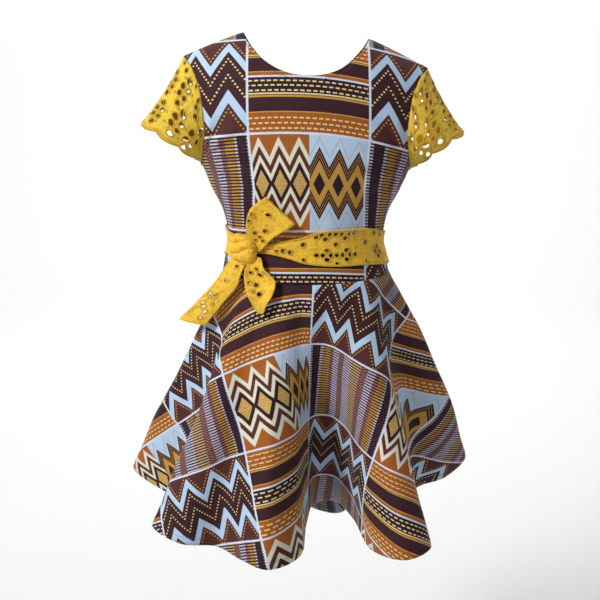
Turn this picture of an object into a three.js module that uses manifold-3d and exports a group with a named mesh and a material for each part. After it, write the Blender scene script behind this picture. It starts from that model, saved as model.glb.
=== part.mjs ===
// A girl's dress in patchwork-print cotton: a round-necked bodice, a full-circle skirt that hangs in
// deep flutes, short flared sleeves in eyelet lace with scalloped hems, and an eyelet lace sash tied
// in a one-loop bow at the wearer's right. It is filled out as worn, hollow, and open at the neck,
// sleeves and hem.
//
// Millimetres, +Z up, front facing -Y. The origin is midway between the two points where the neckline
// meets the shoulder seams, which is where the wearer's shoulders carry the dress.

import * as THREE from "three";
import { mergeVertices } from "three/addons/utils/BufferGeometryUtils.js";
import Module from "manifold-3d";

const wasm = await Module();
wasm.setup();

// ---- Driving dimensions ----

const CLOTH = 1.3; // wall of the cotton, with its turned edges
const LACE = 1.3; // wall of the lace
const SEAM_GAP = 0.3; // between two pieces that are sewn together
const NECK_HALF = 72; // neck point to centre
const NECK_DROP = { front: 44, back: 47 }; // neckline's lowest point below the neck points
const SHOULDER_HALF = 142; // shoulder tip to centre
const SHOULDER_TIP_Z = -29;
const UNDERARM_Z = -150;
const WAIST_Z = -277; // the seam between bodice and skirt
const SHOULDER_TILT = 0.048; // the dress sits with the wearer's left shoulder a little lower

// ---- Tables of sections ----

// The figure inside the bodice: half width, and depth to the front and to the back, at each height.
const FIGURE = [
  { z: -277, half: 104, front: 79, back: 70 },
  { z: -262, half: 101, front: 77, back: 68 },
  { z: -240, half: 95.3, front: 74, back: 65 },
  { z: -216, half: 98, front: 74.5, back: 64 },
  { z: -198, half: 103, front: 75, back: 64 },
  { z: -178, half: 113, front: 76.5, back: 65 },
  { z: -150, half: 125, front: 78.5, back: 66 },
  { z: -120, half: 141, front: 79, back: 68 },
  { z: -90, half: 150, front: 77, back: 68 },
];
const CHEST_TOP_Z = -90; // above this the figure rounds over to the shoulders
const SHOULDER_ROUND = 1.6; // how squarely it rounds over
const NECK_RISE = 5; // the figure's height at the centre of the neck

// Distance from the centre to the armhole's edge, at each height.
const ARMHOLE = [
  { z: -150, x: 125 },
  { z: -127, x: 118 },
  { z: -100, x: 115 },
  { z: -72, x: 118 },
  { z: -55, x: 123 },
  { z: -40, x: 131 },
  { z: -29, x: 142 },
];

// The hem seen from above, from the centre front round by the wearer's left. Seen from above the skirt
// hangs in nine flutes, and the cloth between two rows is as long as the distance between them.
const HEM = [
  { fold: "centre front", x: 2, y: -52 },
  { fold: "centre valley", x: 13, y: -14 },
  { fold: "centre valley", x: 42, y: -12 },
  { fold: "centre valley", x: 64, y: -46 },
  { fold: "left front flute", x: 84, y: -118 },
  { fold: "left front flute, crest", x: 122, y: -152 },
  { fold: "left front flute", x: 153, y: -130 },
  { fold: "left valley", x: 144, y: -44 },
  { fold: "left side flute", x: 156, y: 14 },
  { fold: "left side flute", x: 200, y: 26 },
  { fold: "left side flute, crest", x: 234, y: 56 },
  { fold: "left side flute", x: 212, y: 92 },
  { fold: "left back flute", x: 150, y: 82 },
  { fold: "left back valley", x: 114, y: 62 },
  { fold: "left back valley", x: 98, y: 78 },
  { fold: "left back flute", x: 124, y: 132 },
  { fold: "left back flute, crest", x: 152, y: 166 },
  { fold: "left back flute, crest", x: 120, y: 188 },
  { fold: "left back flute", x: 88, y: 140 },
  { fold: "second back valley", x: 66, y: 78 },
  { fold: "second back valley", x: 48, y: 84 },
  { fold: "second back flute", x: 62, y: 140 },
  { fold: "second back flute, crest", x: 66, y: 186 },
  { fold: "second back flute, crest", x: 34, y: 196 },
  { fold: "second back flute", x: 28, y: 130 },
  { fold: "centre back valley", x: 60, y: 30 },
  { fold: "centre back valley", x: 48, y: 11 },
  { fold: "centre back valley", x: 14, y: 32 },
  { fold: "centre back valley", x: -8, y: 70 },
  { fold: "third back flute", x: -16, y: 140 },
  { fold: "third back flute, crest", x: -24, y: 190 },
  { fold: "third back flute, crest", x: -58, y: 192 },
  { fold: "third back flute", x: -66, y: 140 },
  { fold: "fourth back valley", x: -52, y: 84 },
  { fold: "fourth back valley", x: -72, y: 78 },
  { fold: "right back flute", x: -96, y: 136 },
  { fold: "right back flute, crest", x: -118, y: 184 },
  { fold: "right back flute, crest", x: -152, y: 164 },
  { fold: "right back flute", x: -128, y: 112 },
  { fold: "right back valley", x: -104, y: 70 },
  { fold: "right back valley", x: -122, y: 54 },
  { fold: "right side flute", x: -160, y: 74 },
  { fold: "right side flute", x: -214, y: 84 },
  { fold: "right side flute, crest", x: -243, y: 24 },
  { fold: "right side flute", x: -222, y: 8 },
  { fold: "right side flute", x: -190, y: -8 },
  { fold: "right valley", x: -168, y: -42 },
  { fold: "right front flute", x: -195, y: -92 },
  { fold: "right front flute, crest", x: -155, y: -121 },
  { fold: "right front hollow", x: -112, y: -112 },
  { fold: "front flute", x: -78, y: -140 },
  { fold: "front flute, crest", x: -46, y: -163 },
  { fold: "front flute", x: -8, y: -128 },
];
const SKIRT_LENGTH = { front: 338, back: 371 }; // cloth from the waist seam to the hem
const HIP = { half: 225, front: 140, back: 135 }; // the smooth cone that the folds grow from, at the hem
const FOLD_START = 1.25; // power of the length: the folds grow a little slower below the waist
const HIP_ROUND = { right: 0.36, left: 0.58 }; // how round the hip is on each side: 0 is a cone

// The lace sash round the waist: turn in degrees from the centre front, positive to the wearer's left.
const SASH = [
  { turn: -52, z: -238, half: 9 },
  { turn: -30, z: -237, half: 5.5 },
  { turn: -20, z: -236.3, half: 7.6 },
  { turn: -11, z: -236, half: 11.3 },
  { turn: -2, z: -236.6, half: 15.2 },
  { turn: 7, z: -234.8, half: 19.4 },
  { turn: 20, z: -234.8, half: 21.5 },
  { turn: 45, z: -236.5, half: 22 },
  { turn: 90, z: -248, half: 20 },
  { turn: 180, z: -246, half: 20 },
  { turn: 262, z: -240, half: 19 },
  { turn: 300, z: -238, half: 12 },
  { turn: 330, z: -237, half: 8 },
];
const SASH_LIFT = 1.1; // clear of the bodice
const KNOT = { turn: -44.5, z: -236, wide: 20, tall: 17.5, deep: 11, lean: -38 };

// Bow pieces: the two edges (a and b) of the ribbon at each section, and how far its middle dips.
const BOW_LOOP = [
  { ax: -68, ay: -66, az: -232, bx: -54, by: -70, bz: -240, dip: 0 },
  { ax: -69, ay: -74, az: -209, bx: -37, by: -79, bz: -221, dip: -3 },
  { ax: -63, ay: -80, az: -188, bx: -23, by: -84, bz: -212, dip: -2 },
  { ax: -47, ay: -82, az: -175, bx: -13, by: -86, bz: -205, dip: 0 },
  { ax: -46, ay: -78.5, az: -174, bx: -12, by: -82.5, bz: -204, dip: 0 },
  { ax: -48, ay: -75, az: -177, bx: -15, by: -79, bz: -207, dip: 0 },
  { ax: -60, ay: -71, az: -191, bx: -26, by: -76, bz: -213, dip: 0 },
  { ax: -66, ay: -66, az: -213, bx: -42, by: -72, bz: -227, dip: 0 },
  { ax: -67, ay: -62, az: -232, bx: -55, by: -66, bz: -239, dip: 0 },
];
const LONG_TAIL = [
  { ax: -80, ay: -56, az: -238, bx: -66, by: -66, bz: -246, dip: 0 },
  { ax: -95, ay: -53, az: -260, bx: -76, by: -68, bz: -266, dip: 2 },
  { ax: -112, ay: -50, az: -284, bx: -81, by: -66, bz: -282, dip: 2 },
  { ax: -128, ay: -45, az: -302, bx: -93, by: -62, bz: -297, dip: 3 },
  { ax: -145, ay: -41, az: -320, bx: -107, by: -57, bz: -316, dip: 3 },
  { ax: -157, ay: -39, az: -332, bx: -123, by: -52, bz: -336, dip: 2 },
];
const SHORT_TAIL = [
  { ax: -63, ay: -69, az: -243, bx: -52, by: -73, bz: -246, dip: 0 },
  { ax: -71, ay: -73, az: -259, bx: -49, by: -79, bz: -258, dip: -3 },
  { ax: -72, ay: -74, az: -273, bx: -36, by: -84, bz: -272, dip: -5 },
  { ax: -69, ay: -80, az: -287, bx: -39, by: -88, bz: -286, dip: -4 },
  { ax: -63, ay: -85, az: -298, bx: -46, by: -89, bz: -298, dip: -2 },
  { ax: -56, ay: -88, az: -309, bx: -50, by: -89, bz: -309, dip: 0 },
];

// Sleeves: the hem's ring, as seen on the wearer's left.
const SLEEVE_HEM = {
  left: { topX: 187, topZ: -103, lowX: 128, lowZ: -148, depth: 44, lift: 7 },
  right: { topX: 195, topZ: -106, lowX: 126, lowZ: -147, depth: 44, lift: 7 },
};
const SLEEVE_PUFF = 5; // how far the lace bows out between armhole and hem
const SLEEVE_SAG = 6; // how far the top line hangs below a straight one
const SCALLOPS = 4; // on each half of a sleeve's hem
const SCALLOP_SPREAD = 0.7; // less than 1 makes the ones near the top of the arm wider
const SCALLOP_DEPTH = 4.5;

// Eyelets, in millimetres from the middle of their motif: x and y of the oval's centre, and its half
// sizes. On a sleeve x runs round the arm and y down to the hem; on the sash x runs along it and y up.
const SPRAY = [
  { x: -3.3, y: -11.8, across: 4.1, along: 2.5 },
  { x: 4.6, y: -5.6, across: 3.2, along: 2.3 },
  { x: -7.2, y: -3.2, across: 3.7, along: 2.5 },
  { x: 7, y: 3, across: 3.2, along: 2.4 },
  { x: -4.8, y: 4.4, across: 3.5, along: 2.5 },
  { x: 4, y: 12.8, across: 4.2, along: 2.8 },
];
const DOT = [{ x: 0, y: 0, across: 2.4, along: 2.3 }];
const TRIO = [
  { x: -6, y: -3.8, across: 2.1, along: 2.1 },
  { x: -0.9, y: 0.5, across: 3.5, along: 2.3 },
  { x: 6.9, y: 3.7, across: 4, along: 2.5 },
];
const RING = [
  { x: -4.7, y: 0, across: 2.2, along: 2.4 },
  { x: 4.7, y: 0, across: 2.2, along: 2.4 },
  { x: 0, y: -5.5, across: 2.6, along: 2.2 },
  { x: 0, y: 5.5, across: 2.6, along: 2.2 },
];
// Two rings and three dots in a row along the sash, and the same row with its top folded away.
const shifted = (holes, x) => holes.map((hole) => ({ ...hole, x: hole.x + x }));
const CHAIN = [
  ...shifted(DOT, -24), ...shifted(RING, -12), ...DOT, ...shifted(RING, 12), ...shifted(DOT, 24),
];
const HALF_CHAIN = [
  { x: -22.6, y: -1.3, across: 2.3, along: 2.1 },
  ...shifted(RING.slice(0, 3), -12), ...DOT, ...shifted(RING.slice(0, 3), 12), ...shifted(DOT, 23),
];
const EYELET_TOLERANCE = 0.06; // small edges left by the cutting are merged

// Where the motifs lie on each half sleeve: around from the top (0) to the underarm (1), down from
// the armhole (0) to the hem (1). A motif with a face is on that half alone.
const SLEEVE_MOTIFS = [
  { motif: DOT, around: 0.18, down: 0.065, face: -1 },
  { motif: SPRAY, around: 0.285, down: 0.235 },
  { motif: SPRAY, around: 0.215, down: 0.685 },
  { motif: SPRAY, around: 0.44, down: 0.585 },
  { motif: SPRAY, around: 0.62, down: 0.46 },
  { motif: TRIO, around: 0.445, down: 0.115, face: -1 },
];
// Along the sash: turn in degrees, and height from the middle in millimetres.
const SASH_MOTIFS = [
  { motif: DOT, turn: -15.8, up: -1.6 },
  { motif: DOT, turn: -10.8, up: -3 },
  { motif: DOT, turn: -2.1, up: 6.8 },
  { motif: CHAIN, turn: 21.4, up: -8.2 },
  { motif: HALF_CHAIN, turn: 20, up: 16.9 },
  { motif: DOT, turn: 20.4, up: 4.5 },
  { motif: DOT, turn: 45, up: 5.6 },
  { motif: RING, turn: 60.5, up: -5 },
  { motif: DOT, turn: 54, up: 16.5 },
  { motif: CHAIN, turn: 142, up: -5 },
  { motif: CHAIN, turn: 218, up: -5 },
];
// On the bow pieces: across from edge a (0) to edge b (1), and along from the knot (0) to the end.
const LOOP_MOTIFS = [
  { motif: DOT, across: 0.41, along: 0.284 },
  { motif: DOT, across: 0.12, along: 0.222 },
  { motif: DOT, across: 0.37, along: 0.103 },
  { motif: DOT, across: 0.64, along: 0.148 },
];
const LONG_TAIL_MOTIFS = [
  { motif: DOT, across: 0.2, along: 0.53 },
  { motif: DOT, across: 0.46, along: 0.545 },
  { motif: DOT, across: 0.25, along: 0.67 },
  { motif: DOT, across: 0.4, along: 0.725 },
  { motif: DOT, across: 0.59, along: 0.8 },
];
const SHORT_TAIL_MOTIFS = [
  { motif: DOT, across: 0.6, along: 0.31 },
  { motif: DOT, across: 0.37, along: 0.475 },
  { motif: DOT, across: 0.49, along: 0.625 },
];

// ---- Small maths ----

const lerp = (a, b, t) => a + (b - a) * t;
const clamp01 = (t) => Math.min(1, Math.max(0, t));
const smooth = (t) => clamp01(t) ** 2 * (3 - 2 * clamp01(t));
const radians = THREE.MathUtils.degToRad;

// A column of a table at a place along its first column, on a smooth curve through the rows.
function column(rows, key, name, at) {
  const last = rows.length - 1;
  let i = rows.findIndex((row, n) => n < last && at <= rows[n + 1][key]);
  if (i < 0) i = last - 1;
  const [p, q] = [rows[i], rows[i + 1]];
  const slope = (n) => {
    const [a, b] = [rows[Math.max(0, n - 1)], rows[Math.min(last, n + 1)]];
    return (b[name] - a[name]) / (b[key] - a[key]);
  };
  const span = q[key] - p[key];
  const t = clamp01((at - p[key]) / span);
  const curve = new THREE.Vector4(
    2 * t ** 3 - 3 * t ** 2 + 1,
    (t ** 3 - 2 * t ** 2 + t) * span,
    -2 * t ** 3 + 3 * t ** 2,
    (t ** 3 - t ** 2) * span,
  );
  return curve.dot(new THREE.Vector4(p[name], slope(i), q[name], slope(i + 1)));
}

// The dress sits a little askew on the shoulders, and straight at the waist.
function settle(point) {
  const share = smooth((point.z - WAIST_Z) / -WAIST_Z);
  point.z -= SHOULDER_TILT * point.x * share;
  return point;
}

// ---- Walls of cloth ----

// A closed solid of even thickness on the surface point(u, v), which is its outer face. inset holds
// how far each edge is drawn in, in the order u start, u end, v start, v end. square names the
// coordinate planes (x for side to side, y for front to back) at which two panels meet squarely, and
// onward says that the surface goes on smoothly past both sides.
function clothWall(point, columns, rows, thickness, inset = [0, 0, 0, 0], square = "", onward = false) {
  const grid = [];
  for (let j = 0; j <= rows; j++)
    grid.push(Array.from({ length: columns + 1 }, (_, i) => point(i / columns, j / rows)));
  const drawIn = (edge, inner, distance) => {
    if (distance) edge.add(inner.clone().sub(edge).setLength(distance));
  };
  for (let j = 0; j <= rows; j++) {
    drawIn(grid[j][0], grid[j][1], inset[0]);
    drawIn(grid[j][columns], grid[j][columns - 1], inset[1]);
  }
  for (let i = 0; i <= columns; i++) {
    drawIn(grid[0][i], grid[1][i], inset[2]);
    drawIn(grid[rows][i], grid[rows - 1][i], inset[3]);
  }
  const beside = (i, j) => {
    if (onward && (i < 0 || i > columns)) return point(i / columns, j / rows);
    return grid[j][Math.min(columns, Math.max(0, i))];
  };
  const normal = (i, j) => {
    const across = beside(i + 1, j).clone().sub(beside(i - 1, j));
    const along = grid[Math.min(rows, j + 1)][i].clone().sub(grid[Math.max(0, j - 1)][i]);
    const n = across.cross(along);
    for (const axis of square) if (Math.abs(grid[j][i][axis]) < SEAM_GAP) n[axis] = 0;
    return n.normalize();
  };
  const positions = [];
  const index = [];
  const outer = (i, j) => j * (columns + 1) + i;
  const inner = (i, j) => (rows + 1) * (columns + 1) + outer(i, j);
  grid.forEach((row) => row.forEach((p) => positions.push(p.x, p.y, p.z)));
  grid.forEach((row, j) =>
    row.forEach((p, i) => {
      const q = p.clone().addScaledVector(normal(i, j), -thickness);
      positions.push(q.x, q.y, q.z);
    }),
  );
  const quad = (a, b, c, d) => index.push(a, b, c, a, c, d);
  for (let j = 0; j < rows; j++)
    for (let i = 0; i < columns; i++) {
      quad(outer(i, j), outer(i + 1, j), outer(i + 1, j + 1), outer(i, j + 1));
      quad(inner(i, j), inner(i, j + 1), inner(i + 1, j + 1), inner(i + 1, j));
    }
  for (let i = 0; i < columns; i++) {
    quad(outer(i, 0), inner(i, 0), inner(i + 1, 0), outer(i + 1, 0));
    quad(outer(i, rows), outer(i + 1, rows), inner(i + 1, rows), inner(i, rows));
  }
  for (let j = 0; j < rows; j++) {
    quad(outer(0, j), outer(0, j + 1), inner(0, j + 1), inner(0, j));
    quad(outer(columns, j), inner(columns, j), inner(columns, j + 1), outer(columns, j + 1));
  }
  const geometry = new THREE.BufferGeometry();
  geometry.setAttribute("position", new THREE.Float32BufferAttribute(positions, 3));
  geometry.setIndex(index);
  return geometry;
}

function toSolid(geometry) {
  const bare = geometry.clone();
  bare.deleteAttribute("normal");
  bare.deleteAttribute("uv");
  const merged = mergeVertices(bare, 1e-4);
  return new wasm.Manifold(
    new wasm.Mesh({
      numProp: 3,
      vertProperties: merged.attributes.position.array,
      triVerts: new Uint32Array(merged.index.array),
    }),
  );
}

function toGeometry(solid) {
  const mesh = solid.getMesh();
  const geometry = new THREE.BufferGeometry();
  geometry.setAttribute("position", new THREE.Float32BufferAttribute(mesh.vertProperties, 3));
  geometry.setIndex(Array.from(mesh.triVerts));
  return geometry;
}

// ---- Eyelets ----

// One oval cutter through the surface point(u, v), shifted by x and y millimetres on the surface.
function eyeletCutter(point, u, v, hole) {
  const step = 0.01;
  const here = point(u, v);
  const du = (hole.x * step) / point(u + step, v).sub(here).length();
  const dv = (hole.y * step) / point(u, v + step).sub(here).length();
  const centre = point(u + du, v + dv);
  const across = point(u + du + step, v + dv).sub(centre).normalize();
  const normal = across.clone().cross(point(u + du, v + dv + step).sub(centre)).normalize();
  const sides = 6;
  const reach = 5;
  const geometry = new THREE.CylinderGeometry(1, 1, 2 * reach, sides);
  geometry.rotateY(Math.PI / sides);
  geometry.scale(hole.across, 1, hole.along);
  const frame = new THREE.Matrix4().makeBasis(across, normal, across.clone().cross(normal));
  return toSolid(geometry.applyMatrix4(frame.setPosition(centre)));
}

// Cuts motifs of eyelets through a wall. Each place gives the u and v of a motif's middle.
function cutEyelets(wall, point, places) {
  const cutters = places.flatMap(({ u, v, motif }) =>
    motif.map((hole) => eyeletCutter(point, u, v, hole)),
  );
  return toSolid(wall).subtract(wasm.Manifold.union(cutters)).simplify(EYELET_TOLERANCE);
}

// ---- Bodice ----

// Height of the shoulder's ridge, where front and back meet.
function ridgeZ(x) {
  const out = (Math.abs(x) - NECK_HALF) / (SHOULDER_HALF - NECK_HALF);
  return out > 0 ? SHOULDER_TIP_Z * out ** 1.1 : NECK_RISE * clamp01(-out * 2);
}

// The figure's surface: y at x and z, on the front (face -1) or the back (face 1).
function figureY(x, z, face) {
  const level = Math.min(z, CHEST_TOP_Z);
  const half = column(FIGURE, "z", "half", level);
  const depth = column(FIGURE, "z", face < 0 ? "front" : "back", level);
  const rise = clamp01((z - CHEST_TOP_Z) / (ridgeZ(x) - CHEST_TOP_Z));
  const round = Math.sqrt(Math.max(0, 1 - rise ** SHOULDER_ROUND));
  return face * depth * Math.sqrt(Math.max(0, 1 - (x / half) ** 2)) * round;
}

// The side of a bodice panel, from the waist seam (0) by the underarm (half way) to the shoulder tip.
function sideEdge(v) {
  const w = v * 2 - 1;
  if (w <= 0) {
    const z = lerp(WAIST_Z, UNDERARM_Z, v * 2);
    return { z, x: column(FIGURE, "z", "half", z) };
  }
  const middle = (UNDERARM_Z + SHOULDER_TIP_Z) / 2;
  const z = middle + (SHOULDER_TIP_Z - middle) * Math.cos(Math.PI * (1 - w));
  return { z, x: column(ARMHOLE, "z", "x", z) };
}

// The top of a bodice panel: neckline to half way, then the shoulder seam.
function topEdge(u, face) {
  const out = Math.abs(u) * 2;
  if (out <= 1) {
    const drop = face < 0 ? NECK_DROP.front : NECK_DROP.back;
    return { x: NECK_HALF * out, z: -drop * (1 - out ** 2.2) ** 0.8 };
  }
  const x = lerp(NECK_HALF, SHOULDER_HALF, out - 1);
  return { x, z: ridgeZ(x) };
}

// A point of the bodice: u from side to side (-1 to 1), v from the waist seam to the top.
function bodicePoint(face, u, v) {
  const side = sideEdge(v);
  const top = topEdge(u, face);
  const rise = (side.z - WAIST_Z) / (SHOULDER_TIP_Z - WAIST_Z);
  const z = WAIST_Z + (top.z - WAIST_Z) * rise;
  const round = Math.sin((Math.PI / 2) * Math.abs(u));
  const share = lerp(round, top.x / SHOULDER_HALF, smooth(v * 2 - 1));
  const x = Math.sign(u) * side.x * share;
  return settle(new THREE.Vector3(x, figureY(x, z, face), z));
}

// ---- Skirt ----

const hemCurve = new THREE.CatmullRomCurve3(
  HEM.map((row) => new THREE.Vector3(row.x, row.y, 0)),
  true,
  "centripetal",
);
hemCurve.arcLengthDivisions = 1600;

// The skirt seen from above: turn is the share of the way round from the centre front by the wearer's
// left, and down runs from the waist seam (0) to the hem (1).
function skirtPlan(turn, down) {
  const angle = 2 * Math.PI * turn;
  const [s, c] = [Math.sin(angle), Math.cos(angle)];
  const flare = down * (1 + (s > 0 ? HIP_ROUND.left : HIP_ROUND.right) * s ** 4 * (1 - down));
  const waist = FIGURE[0];
  const face = c > 0 ? "front" : "back";
  const hem = hemCurve.getPointAt((turn + 1) % 1);
  const grown = down ** FOLD_START;
  return new THREE.Vector2(
    s * lerp(waist.half, HIP.half, flare) + grown * (hem.x - s * HIP.half),
    -c * lerp(waist[face], HIP[face], flare) + grown * (hem.y + c * HIP[face]),
  );
}

// A point of the skirt. It falls as far as its length of cloth leaves after the way it runs outward.
function skirtPoint(turn, down) {
  const dip = smooth(-Math.cos(2 * Math.PI * turn));
  const steps = Math.ceil(down * 16);
  const cloth = (lerp(SKIRT_LENGTH.front, SKIRT_LENGTH.back, dip) * down) / steps;
  let z = WAIST_Z;
  let from = skirtPlan(turn, 0);
  for (let i = 1; i <= steps; i++) {
    const to = skirtPlan(turn, (down * i) / steps);
    z -= Math.sqrt(Math.max(0, cloth ** 2 - to.distanceToSquared(from)));
    from = to;
  }
  return new THREE.Vector3(from.x, from.y, z);
}

// ---- Sleeves ----

// A point of a sleeve: around from the top (0) by the front or back (face) to the underarm (1), and
// down from the armhole (0) to the scalloped hem (1). side is 1 on the wearer's left.
function sleevePoint(side, face, around, down) {
  const angle = Math.PI * around;
  const start = sideEdge(1 - around / 2);
  const from = new THREE.Vector3(start.x, figureY(start.x, start.z, face), start.z);
  const { topX, topZ, lowX, lowZ, depth, lift } = SLEEVE_HEM[side > 0 ? "left" : "right"];
  const swing = (1 + Math.cos(angle)) / 2;
  const to = new THREE.Vector3(
    lerp(lowX, topX, swing),
    face * depth * Math.abs(Math.sin(angle)) ** 0.8,
    lerp(lowZ, topZ, swing) + lift * Math.sin(angle),
  );
  const way = to.clone().sub(from);
  const wave = Math.PI * SCALLOPS * Math.max(0, around) ** (1 / SCALLOP_SPREAD);
  const scallop = SCALLOP_DEPTH * Math.abs(Math.sin(wave)) ** 0.7;
  const length = way.length() + scallop - SCALLOP_DEPTH / 2;
  const p = from.addScaledVector(way.normalize(), lerp(0.45, length, down));
  const bow = SLEEVE_PUFF * Math.sin(Math.PI * down) * Math.sin(angle);
  p.y += face * bow;
  p.z += bow * 0.5 - SLEEVE_SAG * swing * Math.sin(Math.PI * clamp01(down) ** 0.8);
  p.x *= side;
  return settle(p);
}

// ---- Sash and bow ----

function sashPoint(turn, up) {
  const z = column(SASH, "turn", "z", turn) + up * column(SASH, "turn", "half", turn);
  const angle = radians(turn);
  const lift = SASH_LIFT + LACE;
  const half = column(FIGURE, "z", "half", z) + lift;
  const face = Math.cos(angle) > 0 ? "front" : "back";
  const depth = column(FIGURE, "z", face, z) + lift;
  return settle(new THREE.Vector3(half * Math.sin(angle), -depth * Math.cos(angle), z));
}

// The knot is a plump wrap of lace with two creases, sitting on the sash's line.
function knotGeometry(grow) {
  const angle = radians(KNOT.turn);
  const out = new THREE.Vector3(Math.sin(angle) / 97, -Math.cos(angle) / 74, 0).normalize();
  const seat = sashPoint(KNOT.turn, 0);
  const centre = seat.addScaledVector(out, KNOT.deep + 0.4 - LACE);
  const across = new THREE.Vector3(0, 0, 1).cross(out).negate();
  const frame = new THREE.Matrix4().makeBasis(across, out, new THREE.Vector3(0, 0, 1));
  const geometry = new THREE.SphereGeometry(1, 18, 10);
  const place = geometry.attributes.position;
  for (let i = 0; i < place.count; i++) {
    const p = new THREE.Vector3().fromBufferAttribute(place, i);
    const crease = 1 - 0.07 * Math.cos(9 * p.z) * (p.y > 0 ? 1 : 0);
    const squarer = (value) => Math.sign(value) * Math.abs(value) ** 0.8;
    p.set(squarer(p.x) * KNOT.wide, squarer(p.y) * KNOT.deep * crease, squarer(p.z) * KNOT.tall);
    p.applyAxisAngle(new THREE.Vector3(0, 1, 0), radians(KNOT.lean) * 0.5);
    p.addScaledVector(p.clone().normalize(), grow);
    place.setXYZ(i, p.x, p.y, p.z);
  }
  return geometry.applyMatrix4(frame.setPosition(centre));
}

// A ribbon with its edges a and b given at each section: across from a (0) to b (1), along to the end.
function ribbon(rows) {
  const edge = (name) =>
    new THREE.CatmullRomCurve3(
      rows.map((row) => new THREE.Vector3(row[name + "x"], row[name + "y"], row[name + "z"])),
      false,
      "centripetal",
    );
  const [edgeA, edgeB] = [edge("a"), edge("b")];
  const stations = rows.map((row, i) => ({ at: i / (rows.length - 1), dip: row.dip }));
  return (across, along) => {
    const at = clamp01(along);
    const p = edgeA.getPoint(at).lerp(edgeB.getPoint(at), across);
    p.y -= column(stations, "at", "dip", at) * Math.sin(Math.PI * clamp01(across));
    return p;
  };
}

// ---- Assembly ----

const dress = new THREE.Group();
const cotton = () =>
  new THREE.MeshStandardMaterial({ color: 0x5a3330, roughness: 0.75, side: THREE.DoubleSide });
const lace = () =>
  new THREE.MeshStandardMaterial({ color: 0xe9bd2c, roughness: 0.8, side: THREE.DoubleSide });

function add(name, geometry, material) {
  const mesh = new THREE.Mesh(geometry, material);
  mesh.name = name;
  dress.add(mesh);
}

const half = SEAM_GAP / 2;

// Bodice: the front in one piece, and the back in two that meet at the centre-back seam.
const bodiceRows = 14;
const front = (u, v) => bodicePoint(-1, u * 2 - 1, v);
add("bodice_front", clothWall(front, 20, bodiceRows, CLOTH, [half, half, half, half], "y"), cotton());
const backLeft = (u, v) => bodicePoint(1, 1 - u, v);
const backRight = (u, v) => bodicePoint(1, -u, v);
for (const [name, point] of [["bodice_back_left", backLeft], ["bodice_back_right", backRight]])
  add(name, clothWall(point, 10, bodiceRows, CLOTH, [half, half, half, half], "xy"), cotton());

// Skirt: the front wedge, and two back wedges.
const skirtRows = 8;
for (const [name, from, to, columns] of [
  ["skirt_front", -0.25, 0.25, 44],
  ["skirt_back_left", 0.25, 0.5, 32],
  ["skirt_back_right", 0.5, 0.75, 32],
]) {
  const point = (u, v) => skirtPoint(lerp(from, to, u), 1 - v);
  add(name, clothWall(point, columns, skirtRows, CLOTH, [half, half, 0, half], "", true), cotton());
}

// Sleeves: each a front half and a back half, cut through with eyelet sprays.
for (const [sideName, side] of [["left", 1], ["right", -1]])
  for (const [faceName, face] of [["front", -1], ["back", 1]]) {
    const turned = side * face > 0;
    const share = (t) => Math.max(0, t) ** SCALLOP_SPREAD;
    const point = (u, v) => sleevePoint(side, face, share(turned ? u : 1 - u), v);
    const wall = clothWall(point, 12, 2, LACE, [half, half, 0, 0], "y");
    const places = SLEEVE_MOTIFS.filter((row) => !row.face || row.face === face).map((row) => {
      const u = row.around ** (1 / SCALLOP_SPREAD);
      const motif = row.motif.map((hole) => ({ ...hole, x: turned ? hole.x : -hole.x }));
      return { motif, u: turned ? u : 1 - u, v: row.down };
    });
    add(`sleeve_${sideName}_${faceName}`, toGeometry(cutEyelets(wall, point, places)), lace());
  }

// Sash: across the front from the knot, and round the back to the knot again.
const knotSolid = toSolid(knotGeometry(0));
const knotRoom = toSolid(knotGeometry(SEAM_GAP + 0.1));
for (const [name, from, to, columns] of [
  ["sash_front", -38, 90, 18],
  ["sash_back", 90, 310, 24],
]) {
  const point = (u, v) => sashPoint(lerp(from, to, u), 2 * v - 1);
  const wall = clothWall(point, columns, 1, LACE, [half, half, 0, 0]);
  const places = SASH_MOTIFS.filter(({ turn }) => turn > from && turn < to).map((row) => ({
    motif: row.motif,
    u: (row.turn - from) / (to - from),
    v: (row.up / column(SASH, "turn", "half", row.turn) + 1) / 2,
  }));
  add(name, toGeometry(cutEyelets(wall, point, places).subtract(knotRoom)), lace());
}
add("sash_knot", toGeometry(knotSolid), lace());

// Bow: one loop and two tails that come out of the knot.
for (const [name, rows, motifs, sections] of [
  ["bow_loop", BOW_LOOP, LOOP_MOTIFS, 18],
  ["bow_long_tail", LONG_TAIL, LONG_TAIL_MOTIFS, 7],
  ["bow_short_tail", SHORT_TAIL, SHORT_TAIL_MOTIFS, 8],
]) {
  const point = ribbon(rows);
  const wall = clothWall(point, 4, sections, LACE);
  const places = motifs.map(({ motif, across, along }) => ({ motif, u: across, v: along }));
  add(name, toGeometry(cutEyelets(wall, point, places).subtract(knotRoom)), lace());
}

export default dress;
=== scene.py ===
"""A girl's dress in patchwork-print cotton with eyelet-lace sleeves and sash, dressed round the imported
frame. Every surface is a function of two parameters on a grid, in millimetres, turned into metres when
the mesh is made."""

import math

import bmesh
import bpy
import numpy as np
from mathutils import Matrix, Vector
from mathutils.geometry import delaunay_2d_cdt


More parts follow.
